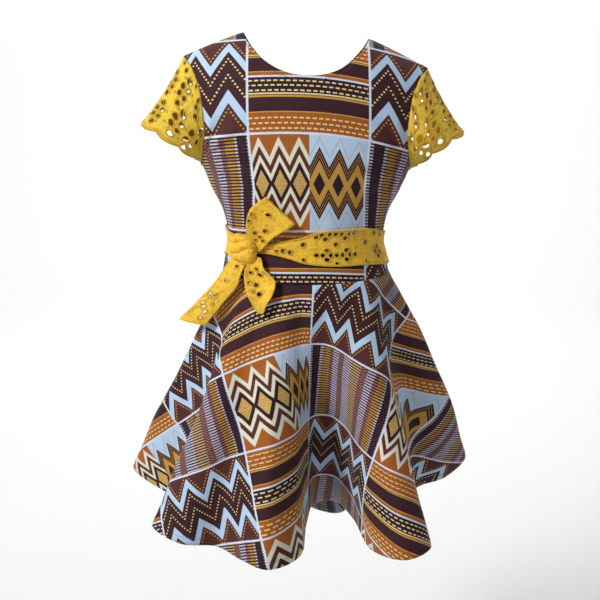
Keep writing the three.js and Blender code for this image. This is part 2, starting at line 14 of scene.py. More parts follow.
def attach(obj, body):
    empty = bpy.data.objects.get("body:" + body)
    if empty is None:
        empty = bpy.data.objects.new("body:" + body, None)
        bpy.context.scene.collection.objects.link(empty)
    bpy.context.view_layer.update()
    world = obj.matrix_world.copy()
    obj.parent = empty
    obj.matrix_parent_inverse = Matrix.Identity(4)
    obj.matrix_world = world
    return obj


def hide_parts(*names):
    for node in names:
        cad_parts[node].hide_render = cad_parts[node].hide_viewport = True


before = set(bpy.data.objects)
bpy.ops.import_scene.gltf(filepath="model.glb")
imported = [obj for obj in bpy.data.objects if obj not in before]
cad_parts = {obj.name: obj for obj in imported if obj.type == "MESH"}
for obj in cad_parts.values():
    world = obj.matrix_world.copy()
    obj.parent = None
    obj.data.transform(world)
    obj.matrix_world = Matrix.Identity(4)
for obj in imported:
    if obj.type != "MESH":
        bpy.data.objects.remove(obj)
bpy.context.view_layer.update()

MM = 0.001

# ---- Camera ----

CAMERA_AT = (-7.0, -900.0, -44.0)  # millimetres
CAMERA_DOWN = 17.0  # degrees below the horizontal
LENS = 44.1  # on a 36 mm sensor

camera_data = bpy.data.cameras.new("camera")
camera = bpy.data.objects.new("camera", camera_data)
bpy.context.scene.collection.objects.link(camera)
camera_data.lens = LENS
camera_data.sensor_width = 36.0
camera_data.clip_end = 50.0
camera.location = Vector(CAMERA_AT) * MM
camera.rotation_euler = (math.radians(90.0 - CAMERA_DOWN), 0.0, 0.0)
bpy.context.scene.camera = camera

# ---- Sizes that the frame's solids were made from ----

CLOTH = 1.3
LACE = 1.3
NECK_HALF = 72.0
NECK_DROP_FRONT = 44.0
NECK_DROP_BACK = 47.0
SHOULDER_HALF = 142.0
SHOULDER_TIP_Z = -29.0
UNDERARM_Z = -150.0
WAIST_Z = -277.0
SHOULDER_TILT = 0.048
CHEST_TOP_Z = -90.0
SHOULDER_ROUND = 1.6
NECK_RISE = 5.0
SEAM_GROOVE, SEAM_GROOVE_WIDTH = 0.8, 4.0  # the cloth is drawn in along the waist seam

# Creases of the bodice: how high they stand, and where they lie.
GATHER_HIGH, GATHER_Z, GATHER_BAND = 0.7, -222.0, 22.0  # small gathers over the sash
GATHER_FADE = 26.0  # the larger creases grow in above the gathers over this height
DRAG_HIGH, DRAG_X, DRAG_Z = 2.2, 118.0, -138.0  # lines that fan out from the underarm
DRAG_LINES, DRAG_REACH, DRAG_BAND = 11.0, 34.0, 26.0
SLACK_HIGH = 1.3

# Creases of the skirt: gathers under the sash, and slow dents over the flutes.
SKIRT_GATHER, SKIRT_GATHER_BAND = 1.8, 0.24
SKIRT_SLACK = 2.2

FIGURE = np.array([  # z, half width, depth to the front, depth to the back
    (-277, 104, 79, 70),
    (-262, 101, 77, 68),
    (-240, 95.3, 74, 65),
    (-216, 98, 74.5, 64),
    (-198, 103, 75, 64),
    (-178, 113, 76.5, 65),
    (-150, 125, 78.5, 66),
    (-120, 141, 79, 68),
    (-90, 150, 77, 68),
], float)
ARMHOLE = np.array([  # z, distance from the centre to the armhole's edge
    (-150, 125),
    (-127, 118),
    (-100, 115),
    (-72, 118),
    (-55, 123),
    (-40, 131),
    (-29, 142),
], float)
HEM = np.array([  # x, y of the hem seen from above, from the centre front by the wearer's left
    (2, -52), (13, -14), (42, -12), (64, -46),  # centre valley
    (84, -118), (122, -152), (153, -130),  # left front flute
    (144, -44), (156, 14), (200, 26), (234, 56), (212, 92),  # left side flute
    (150, 82), (114, 62), (98, 78),  # left back valley
    (124, 132), (152, 166), (120, 188), (88, 140),  # left back flute
    (66, 78), (48, 84), (62, 140), (66, 186), (34, 196), (28, 130),  # second back flute
    (60, 30), (48, 11), (14, 32), (-8, 70),  # centre back valley
    (-16, 140), (-24, 190), (-58, 192), (-66, 140),  # third back flute
    (-52, 84), (-72, 78), (-96, 136), (-118, 184), (-152, 164), (-128, 112),  # right back flute
    (-104, 70), (-122, 54), (-160, 74), (-214, 84), (-243, 24), (-222, 8),  # right side flute
    (-190, -8), (-168, -42), (-195, -92), (-155, -121), (-112, -112),  # right front flute
    (-78, -140), (-46, -163), (-8, -128),  # front flute
], float)
SKIRT_FRONT = 338.0
SKIRT_BACK = 371.0
HIP_HALF, HIP_FRONT, HIP_BACK = 225.0, 140.0, 135.0
FOLD_START = 1.25
HIP_ROUND_LEFT, HIP_ROUND_RIGHT = 0.58, 0.36

SASH = np.array([  # turn in degrees, z, half height
    (-52, -238, 9), (-30, -237, 5.5), (-20, -236.3, 7.6), (-11, -236, 11.3), (-2, -236.6, 15.2),
    (7, -234.8, 19.4), (20, -234.8, 21.5), (45, -236.5, 22), (90, -248, 20), (180, -246, 20),
    (262, -240, 19), (300, -238, 12), (330, -237, 8),
], float)
SASH_LIFT = 1.1
SASH_CREASE = 0.85
SASH_PULL = 42.0  # degrees over which the knot's pull fades along the sash
RIBBON_CREASE = 1.1
KNOT = dict(turn=-44.5, wide=20.0, tall=17.5, deep=11.0, lean=-19.0)  # turn and lean in degrees
KNOT_RIDGES, KNOT_CREASE = 5.0, 0.42  # ridges across it, and the share of its depth between them
KNOT_SQUARE = 0.8
KNOT_CLEAR = 0.4

BOW_LOOP = np.array([  # edge a: x, y, z; edge b: x, y, z; dip of the middle
    (-68, -66, -232, -54, -70, -240, 0), (-69, -74, -209, -37, -79, -221, -3),
    (-63, -80, -188, -23, -84, -212, -2), (-47, -82, -175, -13, -86, -205, 0),
    (-46, -78.5, -174, -12, -82.5, -204, 0), (-48, -75, -177, -15, -79, -207, 0),
    (-60, -71, -191, -26, -76, -213, 0), (-66, -66, -213, -42, -72, -227, 0),
    (-67, -62, -232, -55, -66, -239, 0),
], float)
LONG_TAIL = np.array([
    (-80, -56, -238, -66, -66, -246, 0), (-95, -53, -260, -76, -68, -266, 2),
    (-112, -50, -284, -81, -66, -282, 2), (-128, -45, -302, -93, -62, -297, 3),
    (-145, -41, -320, -107, -57, -316, 3), (-157, -39, -332, -123, -52, -336, 2),
], float)
SHORT_TAIL = np.array([
    (-63, -69, -243, -52, -73, -246, 0), (-71, -73, -259, -49, -79, -258, -3),
    (-72, -74, -273, -36, -84, -272, -5), (-69, -80, -287, -39, -88, -286, -4),
    (-63, -85, -298, -46, -89, -298, -2), (-56, -88, -309, -50, -89, -309, 0),
], float)

SLEEVE_LEFT = dict(top_x=187.0, top_z=-103.0, low_x=128.0, low_z=-148.0, depth=44.0, lift=7.0)
SLEEVE_RIGHT = dict(top_x=195.0, top_z=-106.0, low_x=126.0, low_z=-147.0, depth=44.0, lift=7.0)
SLEEVE_FLAT, SLEEVE_AREA = (0.15, 0.075), 0.0075  # the flat cut of half a sleeve, in metres
SLEEVE_INSET = 0.45  # from the armhole's edge
SLEEVE_PUFF = 5.0
SLEEVE_SAG = 6.0
CUFF_SQUARE = 0.8
SCALLOPS = 4
SCALLOP_DEPTH = 4.5
SCALLOP_ROUND = 0.7
SCALLOP_SPREAD = 0.7  # less than 1 makes the scallops near the top of the arm wider

# Eyelets of a motif, in millimetres from its middle: x and y of the oval's centre, and its half sizes.
SPRAY = [(-3.3, -11.8, 4.1, 2.5), (4.6, -5.6, 3.2, 2.3), (-7.2, -3.2, 3.7, 2.5),
         (7, 3, 3.2, 2.4), (-4.8, 4.4, 3.5, 2.5), (4, 12.8, 4.2, 2.8)]
DOT = [(0, 0, 2.4, 2.3)]
PIN = [(0, 0, 1.7, 1.6)]  # the small ones
TRIO = [(-6, -3.8, 2.1, 2.1), (-0.9, 0.5, 3.5, 2.3), (6.9, 3.7, 4, 2.5)]
RING = [(-4.7, 0, 2.2, 2.4), (4.7, 0, 2.2, 2.4), (0, -5.5, 2.6, 2.2), (0, 5.5, 2.6, 2.2)]


def shifted(holes, x):
    """The same eyelets, moved across the motif."""
    return [(hole[0] + x, *hole[1:]) for hole in holes]


CHAIN = shifted(DOT, -24) + shifted(RING, -12) + DOT + shifted(RING, 12) + shifted(DOT, 24)
HALF_CHAIN = ([(-22.6, -1.3, 2.3, 2.1)] + shifted(RING[:3], -12) + DOT + shifted(RING[:3], 12)
              + shifted(DOT, 23))
SLEEVE_MOTIFS = [  # motif, around, down, and the half it is on: 0 for both
    (DOT, 0.18, 0.065, 0), (SPRAY, 0.285, 0.235, 0), (SPRAY, 0.215, 0.685, 0),
    (SPRAY, 0.44, 0.585, 0), (SPRAY, 0.62, 0.46, 0), (TRIO, 0.445, 0.115, -1),
    (SPRAY, 0.105, 0.29, 0), (PIN, 0.12, 0.03, 0), (PIN, 0.33, 0.03, 0),
]
SASH_MOTIFS = [  # motif, turn round the waist, height from the middle
    (DOT, -15.8, -1.6), (DOT, -10.8, -3), (DOT, -2.1, 6.8), (CHAIN, 21.4, -8.2), (HALF_CHAIN, 20, 16.9),
    (DOT, 20.4, 4.5), (DOT, 45, 5.6), (RING, 60.5, -5), (DOT, 54, 16.5), (CHAIN, 142, -5),
    (CHAIN, 218, -5), (PIN, -1.7, -10.8), (PIN, 20.9, -17.8), (PIN, 44.8, -17.5), (PIN, -20.5, -2),
    (PIN, 63, 15.5), (PIN, 105, 8), (PIN, 118, 8), (PIN, 142, 9), (PIN, 180, 4), (PIN, 166, 9),
    (PIN, 194, 9), (PIN, 218, 9), (PIN, 245, 4),
]
LOOP_MOTIFS = [
    (DOT, 0.41, 0.284), (DOT, 0.12, 0.222), (DOT, 0.37, 0.103), (DOT, 0.64, 0.148), (PIN, 0.08, 0.17),
    (PIN, 0.6, 0.09), (PIN, 0.48, 0.06), (PIN, 0.78, 0.075), (PIN, 0.24, 0.04), (PIN, 0.5, 0.7),
]
LONG_TAIL_MOTIFS = [
    (DOT, 0.2, 0.53), (DOT, 0.46, 0.545), (DOT, 0.25, 0.67), (DOT, 0.4, 0.725), (DOT, 0.59, 0.8),
    (PIN, 0.32, 0.585), (PIN, 0.56, 0.6), (PIN, 0.14, 0.74), (PIN, 0.1, 0.8), (PIN, 0.62, 0.9),
    (PIN, 0.42, 0.33), (PIN, 0.58, 0.15), (PIN, 0.64, 0.69),
]
SHORT_TAIL_MOTIFS = [
    (DOT, 0.6, 0.31), (DOT, 0.37, 0.475), (DOT, 0.49, 0.625), (PIN, 0.86, 0.26), (PIN, 0.6, 0.21),
    (PIN, 0.27, 0.27), (PIN, 0.25, 0.57), (PIN, 0.15, 0.44),
]


# ---- Small maths ----

def lerp(a, b, t):
    """A straight line from a to b."""
    return a + (b - a) * t


def smooth(t):
    """3 t^2 - 2 t^3, held between 0 and 1."""
    t = np.clip(t, 0.0, 1.0)
    return t * t * (3.0 - 2.0 * t)


def bell(distance, width):
    """exp(-(distance / width)^2): 1 in the middle, and fading on both sides."""
    return np.exp(-((distance / width) ** 2))


def column(rows, which, at):
    """A column of a table at a place along its first column: a cubic through the rows, whose slope at
    each row is that between its two neighbours."""
    key, value = rows[:, 0], rows[:, which]
    last = len(rows) - 1
    before = np.maximum(np.arange(len(rows)) - 1, 0)
    after = np.minimum(np.arange(len(rows)) + 1, last)
    slope = (value[after] - value[before]) / (key[after] - key[before])
    i = np.clip(np.searchsorted(key, at, side="left") - 1, 0, last - 1)
    span = key[i + 1] - key[i]
    t = np.clip((at - key[i]) / span, 0.0, 1.0)
    return (
        value[i] * (2 * t**3 - 3 * t**2 + 1)
        + slope[i] * span * (t**3 - 2 * t**2 + t)
        + value[i + 1] * (3 * t**2 - 2 * t**3)
        + slope[i + 1] * span * (t**3 - t**2)
    )


def settle(points):
    """The dress sits a little askew on the shoulders, and straight at the waist."""
    share = smooth((points[..., 2] - WAIST_Z) / -WAIST_Z)
    points[..., 2] -= SHOULDER_TILT * points[..., 0] * share
    return points


def catmull(points, closed, samples):
    """A centripetal Catmull-Rom curve through the points, as a fine line of samples."""
    count = len(points)
    if closed:
        ring = np.vstack([points[-1:], points, points[:2]])
        spans = count
    else:
        head = points[0] + (points[0] - points[1])
        tail = points[-1] + (points[-1] - points[-2])
        ring = np.vstack([head, points, tail])
        spans = count - 1
    t = np.linspace(0.0, 1.0, samples, endpoint=False)[:, None]
    line = []
    for i in range(spans):
        p0, p1, p2, p3 = ring[i : i + 4]
        d0, d1, d2 = (max(np.linalg.norm(b - a) ** 0.5, 1e-4) for a, b in ((p0, p1), (p1, p2), (p2, p3)))
        t1 = (p1 - p0) / d0 - (p2 - p0) / (d0 + d1) + (p2 - p1) / d1
        t2 = (p2 - p1) / d1 - (p3 - p1) / (d1 + d2) + (p3 - p2) / d2
        t1, t2 = t1 * d1, t2 * d1
        line.append(
            p1 + t1 * t + (-3 * p1 + 3 * p2 - 2 * t1 - t2) * t**2 + (2 * p1 - 2 * p2 + t1 + t2) * t**3
        )
    line.append(points[:1] if closed else points[-1:])
    return np.vstack(line)


def length_along(points):
    """The length of a line of points up to each of them."""
    return np.concatenate([[0.0], np.cumsum(np.linalg.norm(np.diff(points, axis=0), axis=1))])


hem_line = catmull(HEM, True, 40)
hem_length = length_along(hem_line)


def hem_at(turn):
    """The hem's plan at a share of the way round, by length of cloth."""
    along = np.mod(turn, 1.0) * hem_length[-1]
    return np.interp(along, hem_length, hem_line[:, 0]), np.interp(along, hem_length, hem_line[:, 1])


# ---- Surfaces ----

def ridge_z(x):
    """Height of the shoulders' ridge: outside the neck point the tip's height times the share of the way
    out, to the power 1.1; inside it a straight rise."""
    out = (np.abs(x) - NECK_HALF) / (SHOULDER_HALF - NECK_HALF)
    return np.where(
        out > 0,
        SHOULDER_TIP_Z * np.maximum(out, 0) ** 1.1,
        NECK_RISE * np.clip(-out * 2, 0, 1),
    )


def figure_y(x, z, face):
    """Ellipse of the figure's section at z, times sqrt(1 - rise^1.6) above the chest; face is -1 for
    the front and 1 for the back."""
    level = np.minimum(z, CHEST_TOP_Z)
    half = column(FIGURE, 1, level)
    depth = np.where(face < 0, column(FIGURE, 2, level), column(FIGURE, 3, level))
    rise = np.clip((z - CHEST_TOP_Z) / (ridge_z(x) - CHEST_TOP_Z), 0, 1)
    rounding = np.sqrt(np.maximum(0, 1 - rise**SHOULDER_ROUND))
    return face * depth * np.sqrt(np.maximum(0, 1 - (x / half) ** 2)) * rounding


def side_edge(v):
    """Side of a bodice panel: the side seam for v up to a half, then the armhole to the shoulder."""
    w = v * 2 - 1
    middle = (UNDERARM_Z + SHOULDER_TIP_Z) / 2
    z = np.where(
        w <= 0,
        lerp(WAIST_Z, UNDERARM_Z, v * 2),
        middle + (SHOULDER_TIP_Z - middle) * np.cos(np.pi * (1 - w)),
    )
    x = np.where(w <= 0, column(FIGURE, 1, z), column(ARMHOLE, 1, z))
    return x, z


def top_edge(u, face):
    """Top of a bodice panel: the neckline for |u| up to a half, then the shoulder seam."""
    out = np.abs(u) * 2
    drop = NECK_DROP_FRONT if face < 0 else NECK_DROP_BACK
    on_neck = out <= 1
    neck = np.clip(out, 0, 1)
    x = np.where(on_neck, NECK_HALF * out, lerp(NECK_HALF, SHOULDER_HALF, out - 1))
    z = np.where(on_neck, -drop * np.maximum(1 - neck**2.2, 0) ** 0.8, ridge_z(x))
    return x, z


def bodice_plan(face, u, v):
    """A panel's outline filled in, as x and z. The height is a straight line from the waist to the top
    edge, by the side edge's own rise. The distance from the centre is that of the side edge times a
    share, which goes over from the sine of u to the top edge's share above the underarm."""
    side_x, side_z = side_edge(v)
    top_x, top_z = top_edge(u, face)
    rise = (side_z - WAIST_Z) / (SHOULDER_TIP_Z - WAIST_Z)
    z = WAIST_Z + (top_z - WAIST_Z) * rise
    rounding = np.sin(np.pi / 2 * np.abs(u))
    share = lerp(rounding, top_x / SHOULDER_HALF, smooth(v * 2 - 1))
    return np.sign(u) * side_x * share, z


def bodice(face, u, v):
    """The figure's surface over the panel's outline, moved outward by three creases that fade at the
    panel's edges. Gathers are the sine of x in a bell over the sash. Drag lines are the sine of the angle
    round the underarm, in a bell of the distance from it. Slack is a product of two slow sines. A bell
    along the waist seam is taken away."""
    x, z = bodice_plan(face, u, v)
    y = figure_y(x, z, face)
    held = smooth((v - 0.004) * 12) * smooth((1 - np.abs(u)) * 9) * smooth((1 - v) * 8)
    gather = np.sin(x * 0.21 + np.sin(x * 0.063) * 2.4) * bell(z - GATHER_Z, GATHER_BAND)
    away_x, away_z = DRAG_X - np.abs(x), z - DRAG_Z
    ray = np.arctan2(away_z, away_x)
    reach = np.hypot(away_x, away_z)
    drag = np.sin(ray * DRAG_LINES + np.sign(x) * 0.8) * bell(reach - DRAG_REACH, DRAG_BAND)
    slack = np.sin(z * 0.055 + x * 0.021 + 1.2) * np.sin(x * 0.034 + z * 0.011)
    large = (DRAG_HIGH * drag + SLACK_HIGH * slack) * smooth((z - GATHER_Z) / GATHER_FADE)
    y = y + face * held * (GATHER_HIGH * gather + large)
    y = y - face * SEAM_GROOVE * bell(z - WAIST_Z, SEAM_GROOVE_WIDTH)
    return settle(np.stack([x, y, z], -1))


def skirt_plan(turn, down):
    """The skirt seen from above, as x and y: a straight line from the waist's ellipse to the hips', with
    the sides rounded out by the fourth power of the sine, plus the hem's distance from the hips' ellipse
    times a power of the way down."""
    angle = 2 * np.pi * turn
    s, c = np.sin(angle), np.cos(angle)
    flare = down * (1 + np.where(s > 0, HIP_ROUND_LEFT, HIP_ROUND_RIGHT) * s**4 * (1 - down))
    waist_y = np.where(c > 0, FIGURE[0, 2], FIGURE[0, 3])
    hip_y = np.where(c > 0, HIP_FRONT, HIP_BACK)
    hem_x, hem_y = hem_at(turn)
    grown = down**FOLD_START
    x = s * lerp(FIGURE[0, 1], HIP_HALF, flare) + grown * (hem_x - s * HIP_HALF)
    y = -c * lerp(waist_y, hip_y, flare) + grown * (hem_y + c * hip_y)
    return x, y


def skirt(turn, down):
    """A cone from the waist that grows into the hem's flutes. In each of 16 steps it falls by the square
    root of its cloth's length squared less the way outward squared. Gathers under the sash and dents
    lower down are products of sines of the turn and the way down, and move the wall outward."""
    steps = 16
    dip = smooth(-np.cos(2 * np.pi * turn))
    cloth = lerp(SKIRT_FRONT, SKIRT_BACK, dip) * down / steps
    z = np.full_like(turn, WAIST_Z)
    from_x, from_y = skirt_plan(turn, np.zeros_like(turn))
    for i in range(1, steps + 1):
        x, y = skirt_plan(turn, down * i / steps)
        z = z - np.sqrt(np.maximum(0, cloth**2 - (x - from_x) ** 2 - (y - from_y) ** 2))
        from_x, from_y = x, y
    way = 2 * np.pi * turn
    under_sash = smooth(down * 14) * bell(down, SKIRT_GATHER_BAND)
    gather = np.sin(17 * way + 2.0 * np.sin(3 * way)) + 0.8 * np.sin(9 * way + 1.0)
    slack = np.sin(4.5 * way + 9 * down) * np.sin(7 * way - 6 * down + 0.7) * smooth(down * 4)
    dent = SKIRT_GATHER * under_sash * gather + SKIRT_SLACK * slack * smooth((1 - down) * 8)
    dent = dent - SEAM_GROOVE * bell(down * SKIRT_FRONT, SEAM_GROOVE_WIDTH)
    grow = 1 + dent / np.hypot(from_x, from_y)
    return np.stack([from_x * grow, from_y * grow, z], -1)


def sleeve(side, face, around, down):
    """Straight lines from the armhole to the cuff, whose ring is a cosine and a squared-off sine. Each
    line's length has the absolute sine of the scallops' wave added. A product of two sines bows the lace
    out, and another lets its top line sag."""
    size = SLEEVE_LEFT if side > 0 else SLEEVE_RIGHT
    angle = np.pi * around
    start_x, start_z = side_edge(1 - around / 2)
    start = np.stack([start_x, figure_y(start_x, start_z, face), start_z], -1)
    swing = (1 + np.cos(angle)) / 2
    end = np.stack([
        lerp(size["low_x"], size["top_x"], swing),
        face * size["depth"] * np.abs(np.sin(angle)) ** CUFF_SQUARE,
        lerp(size["low_z"], size["top_z"], swing) + size["lift"] * np.sin(angle),
    ], -1)
    way = end - start
    length = np.linalg.norm(way, axis=-1)
    wave = np.pi * SCALLOPS * np.maximum(around, 0) ** (1 / SCALLOP_SPREAD)
    scallop = SCALLOP_DEPTH * np.abs(np.sin(wave)) ** SCALLOP_ROUND
    reach = lerp(SLEEVE_INSET, length + scallop - SCALLOP_DEPTH / 2, down) / length
    points = start + way * reach[..., None]
    bow = SLEEVE_PUFF * np.sin(np.pi * down) * np.sin(angle)
    points[..., 1] += face * bow
    points[..., 2] += bow * 0.5 - SLEEVE_SAG * swing * np.sin(np.pi * np.clip(down, 0, 1) ** 0.8)
    points[..., 0] *= side
    return settle(points)


def sash(turn, up):
    """A band on the figure's ellipse, moved out: the cosine and sine of the turn times the half width and
    the depth at its height. The turn is in degrees, and up goes from -1 to 1 across the band."""
    z = column(SASH, 1, turn) + up * column(SASH, 2, turn)
    angle = np.radians(turn)
    lift = SASH_LIFT + LACE
    half = column(FIGURE, 1, z) + lift
    depth = np.where(np.cos(angle) > 0, column(FIGURE, 2, z), column(FIGURE, 3, z)) + lift
    return settle(np.stack([half * np.sin(angle), -depth * np.cos(angle), z], -1))


def ribbon(rows):
    """A surface between two smooth edges, from a table of their points."""
    samples = 40
    a = catmull(rows[:, 0:3], False, samples)
    b = catmull(rows[:, 3:6], False, samples)
    stations = np.stack([np.linspace(0, 1, len(rows)), rows[:, 6]], 1)

    def point(across, along):
        """A straight line from edge to edge, with its middle moved back by the table's dip and by soft
        creases, both times the sine of the way across. A crease is the sine of the way across, bent by
        a sine of the way along, and fades along the ribbon; a second, weaker one runs the other way."""
        at = np.clip(along, 0, 1) * (len(a) - 1)
        place = np.arange(len(a))
        edge_a = np.stack([np.interp(at, place, a[:, k]) for k in range(3)], -1)
        edge_b = np.stack([np.interp(at, place, b[:, k]) for k in range(3)], -1)
        p = edge_a + (edge_b - edge_a) * across[..., None]
        crease = np.sin(9.0 * across + 5.0 * np.sin(4.0 * along)) * np.exp(-4.0 * along)
        crease += 0.6 * np.sin(14.0 * along + 3.0 * across) * np.sin(2.6 * across + 0.4)
        dip = column(stations, 1, np.clip(along, 0, 1)) + RIBBON_CREASE * crease
        p[..., 1] -= dip * np.sin(np.pi * np.clip(across, 0, 1))
        return p

    return point


# ---- Cloth coordinates of the print, in millimetres of flat cloth ----

FLAT_WAIST = 93.0  # radius of the waist seam in the skirt's flat cut
COLUMN_LINE = 8.0  # one of the printed lines that run down the cloth
COLUMN_WIDTH = 138.0
ROW_LINE = 63.0  # one of the printed lines that run across it
ROW_HEIGHT = 104.0
SIDE_SHEAR = 0.46  # the left side flute hangs off the grain
SIDE_FLUTE, SIDE_GROW = 0.12, 0.04  # the turn at which it begins, and the turn over which it does
VALLEY_TURN = 0.38  # how far the cell left of the centre lies open on the flute and closes in the valley
VALLEY_EDGE = 6  # the power that keeps the closing near the cell's far edge


def skirt_cloth(turn, down):
    """The flat cut is a ring: the radius is the waist's plus the cloth below it, the angle is measured
    from the middle of the front or of the back, and its sine and cosine give the place. In the front's
    second column the place across is eased by the share across it to the sixth power less the share."""
    dip = smooth(-np.cos(2 * np.pi * turn))
    radius = FLAT_WAIST + lerp(SKIRT_FRONT, SKIRT_BACK, dip) * down
    folded = np.mod(turn + 0.25, 0.5) - 0.25
    angle = 2 * np.pi * folded
    u, v = radius * np.sin(angle), radius * np.cos(angle)
    share = np.clip((u - COLUMN_LINE) / COLUMN_WIDTH + 1, 0, 1)
    front = np.abs(np.mod(turn + 0.5, 1.0) - 0.5) < 0.25
    closing = np.where(front, VALLEY_TURN * smooth(down * 2.4 - 0.3), 0.0)
    past = np.clip(2 - (u - COLUMN_LINE) / COLUMN_WIDTH, 0, 1)
    side = np.where(front, smooth((turn - SIDE_FLUTE) / SIDE_GROW), 0.0)
    v = v + side * SIDE_SHEAR * np.maximum(u - COLUMN_LINE - COLUMN_WIDTH, 0)
    opened = (share**VALLEY_EDGE - share) - side * (past**VALLEY_EDGE - past)
    return u + closing * opened * COLUMN_WIDTH, v


profile_z = np.linspace(WAIST_Z, 4.0, 600)
profile_y = figure_y(np.full_like(profile_z, 40.0), profile_z, -1)
profile_length = length_along(np.stack([profile_z, profile_y], 1))
LINE_CHEST_Z = -104.6
LINE_WAIST_Z = -214.5
SIDE_DIP_LEFT, SIDE_DIP_RIGHT, SIDE_DIP_AT = 12.0, 7.0, 95.0  # how far the printed rows sag at the sides
CENTRE_SLIP, WAIST_SLIP = 2.0, 3.0  # the print's middle lies a little off the dress's
ACROSS_SCALE = 0.965
SIDE_EASE = 0.76  # the cloth beside the middle cell lies flatter than the figure
CELL_Z = (-240.0, -214.0, -167.0, -110.0, 0.0)  # the cloth is drawn in at the waist
CELL_SCALE = (1.03, 1.06, 1.117, 1.05, 1.05)


def bodice_cloth(x, z):
    """Across: length of cloth round the figure from the centre, the ellipse's arc summed in 24 steps.
    Down: length of cloth along the figure, set so that two of the printed lines cross the chest and the
    waist, less a dip that grows with the square of the distance from the centre."""
    half = column(FIGURE, 1, np.minimum(z, CHEST_TOP_Z))
    depth = column(FIGURE, 2, np.minimum(z, CHEST_TOP_Z))
    end = np.arcsin(np.clip(np.abs(x) / half, 0, 1))
    steps = 24
    across = np.zeros_like(x)
    for i in range(steps):
        phi = end * (i + 0.5) / steps
        across += np.hypot(half * np.cos(phi), depth * np.sin(phi)) * end / steps
    across *= np.sign(x)
    at = np.interp(z, profile_z, profile_length)
    chest, waist = (np.interp(line, profile_z, profile_length) for line in (LINE_CHEST_Z, LINE_WAIST_Z))
    scale = ROW_HEIGHT / (chest - waist)
    dip = np.where(x < 0, SIDE_DIP_RIGHT, SIDE_DIP_LEFT) * np.minimum(np.abs(x) / SIDE_DIP_AT, 1.4) ** 2
    v = ROW_LINE + ROW_HEIGHT + (chest - at) * scale - dip
    slip = CENTRE_SLIP + WAIST_SLIP * np.clip(z / WAIST_Z, 0, 1)
    u = (across - slip) * ACROSS_SCALE * np.interp(z, CELL_Z, CELL_SCALE) - COLUMN_WIDTH / 2 + COLUMN_LINE
    left, right = COLUMN_LINE - COLUMN_WIDTH, COLUMN_LINE
    inside = np.clip(u, left, right)
    return inside + (u - inside) * SIDE_EASE, v


# ---- Meshes ----

SHORT_STEP = 1e-3


def ring_quads(ring):
    """Quads between rows of indices that each run all the way round."""
    after = np.roll(ring, -1, 1)
    return np.stack([ring[:-1], after[:-1], after[1:], ring[1:]], -1).reshape(-1, 4)


def grid_piece(name, points, cloth_uv, flip=False):
    """A mesh on a grid of points."""
    rows, cols = points.shape[:2]
    index = np.arange(rows * cols).reshape(rows, cols)
    quads = np.stack([index[:-1, :-1], index[:-1, 1:], index[1:, 1:], index[1:, :-1]], -1).reshape(-1, 4)
    if flip:
        quads = quads[:, ::-1]
    return soft_mesh(name, points.reshape(-1, 3), quads.tolist(), cloth_uv.reshape(-1, 2))


def soft_mesh(name, points, faces, cloth_uv):
    """A smooth mesh from points in millimetres, with the cloth's own coordinates as its UV map."""
    mesh = bpy.data.meshes.new(name)
    mesh.from_pydata((points * MM).tolist(), [], faces)
    loops = np.empty(len(mesh.loops), np.int32)
    mesh.loops.foreach_get("vertex_index", loops)
    layer = mesh.uv_layers.new(name="cloth")
    layer.data.foreach_set("uv", (cloth_uv[loops] * MM).astype(np.float32).ravel())
    mesh.polygons.foreach_set("use_smooth", np.ones(len(mesh.polygons), bool))
    mesh.update()
    piece = bpy.data.objects.new(name, mesh)
    bpy.context.scene.collection.objects.link(piece)
    return piece


def unit(vectors):
    """The same directions at length 1."""
    return vectors / np.linalg.norm(vectors, axis=-1, keepdims=True)


def normal_of(surface, u, v, points):
    """The cross product of two short steps on a surface, at length 1."""
    return unit(np.cross(surface(u + SHORT_STEP, v) - points, surface(u, v + SHORT_STEP) - points))


def thicken(piece, thickness):
    """Gives a sheet its wall, inward from its outer face; the inside takes the second material."""
    wall = piece.modifiers.new("wall", "SOLIDIFY")
    wall.thickness = thickness * MM
    wall.offset = -1.0
    wall.use_even_offset = False
    wall.use_quality_normals = True
    wall.material_offset = 1
    wall.material_offset_rim = 0


def dress_with(piece, node, materials):
    """Puts a finished sheet in its CAD node's place: gives it its materials, hangs it under the root and
    hides the CAD node.
    """
    for material in materials:
        piece.data.materials.append(material)
    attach(piece, "root")
    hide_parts(node)


# ---- Shader helpers ----

def srgb(red, green, blue):
    """A colour on the screen's scale of 0 to 255, as the shaders' linear light."""
    def linear(value):
        value /= 255.0
        return value / 12.92 if value <= 0.04045 else ((value + 0.055) / 1.055) ** 2.4
    return (linear(red), linear(green), linear(blue), 1.0)


WHITE_LINE = srgb(214, 224, 240)
PALE_BLUE = srgb(186, 211, 237)
CREAM = srgb(222, 222, 208)
ORANGE = srgb(166, 92, 34)
BROWN = srgb(84, 44, 44)
DARK_BROWN = srgb(61, 32, 38)
PLUM = srgb(45, 24, 38)
GOLD = srgb(196, 150, 66)
PALE_GOLD = srgb(232, 208, 150)
DUSTY_PINK = srgb(150, 104, 100)
BAR_WHITE = srgb(196, 194, 212)
TAN = srgb(196, 168, 120)
LACE_LIGHT = srgb(255, 216, 80)
# Painted shade: the deeper yellow put into the hollows of the lace's pucker.
LACE_HOLLOW_SHADE = srgb(244, 186, 42)
# Painted shade: the dark orange in the grooves between satin threads, which also gives each eyelet's rim a
# shaded outline.
RIM_GROOVE_SHADE = srgb(214, 150, 24)
# Painted shade: the dark orange that the lace's reverse is mixed far toward, as the insides of the sleeves
# lie in shadow, and that the sash, bow and knot are mixed a little toward, as they lie in shade. The
# embroidered rings are also drawn a little toward it.
LACE_SHADE = srgb(186, 122, 12)
# Painted light: the cooler lemon of daylight on the sleeves, which the sleeves' lace is mixed toward.
LACE_DAYLIGHT_TINT = srgb(196, 184, 66)
# Painted shade: the dark grey-blue that the printed cotton's reverse is mixed half toward, as the inside of
# the dress lies in shadow.
REVERSE_SHADE = srgb(84, 82, 96)


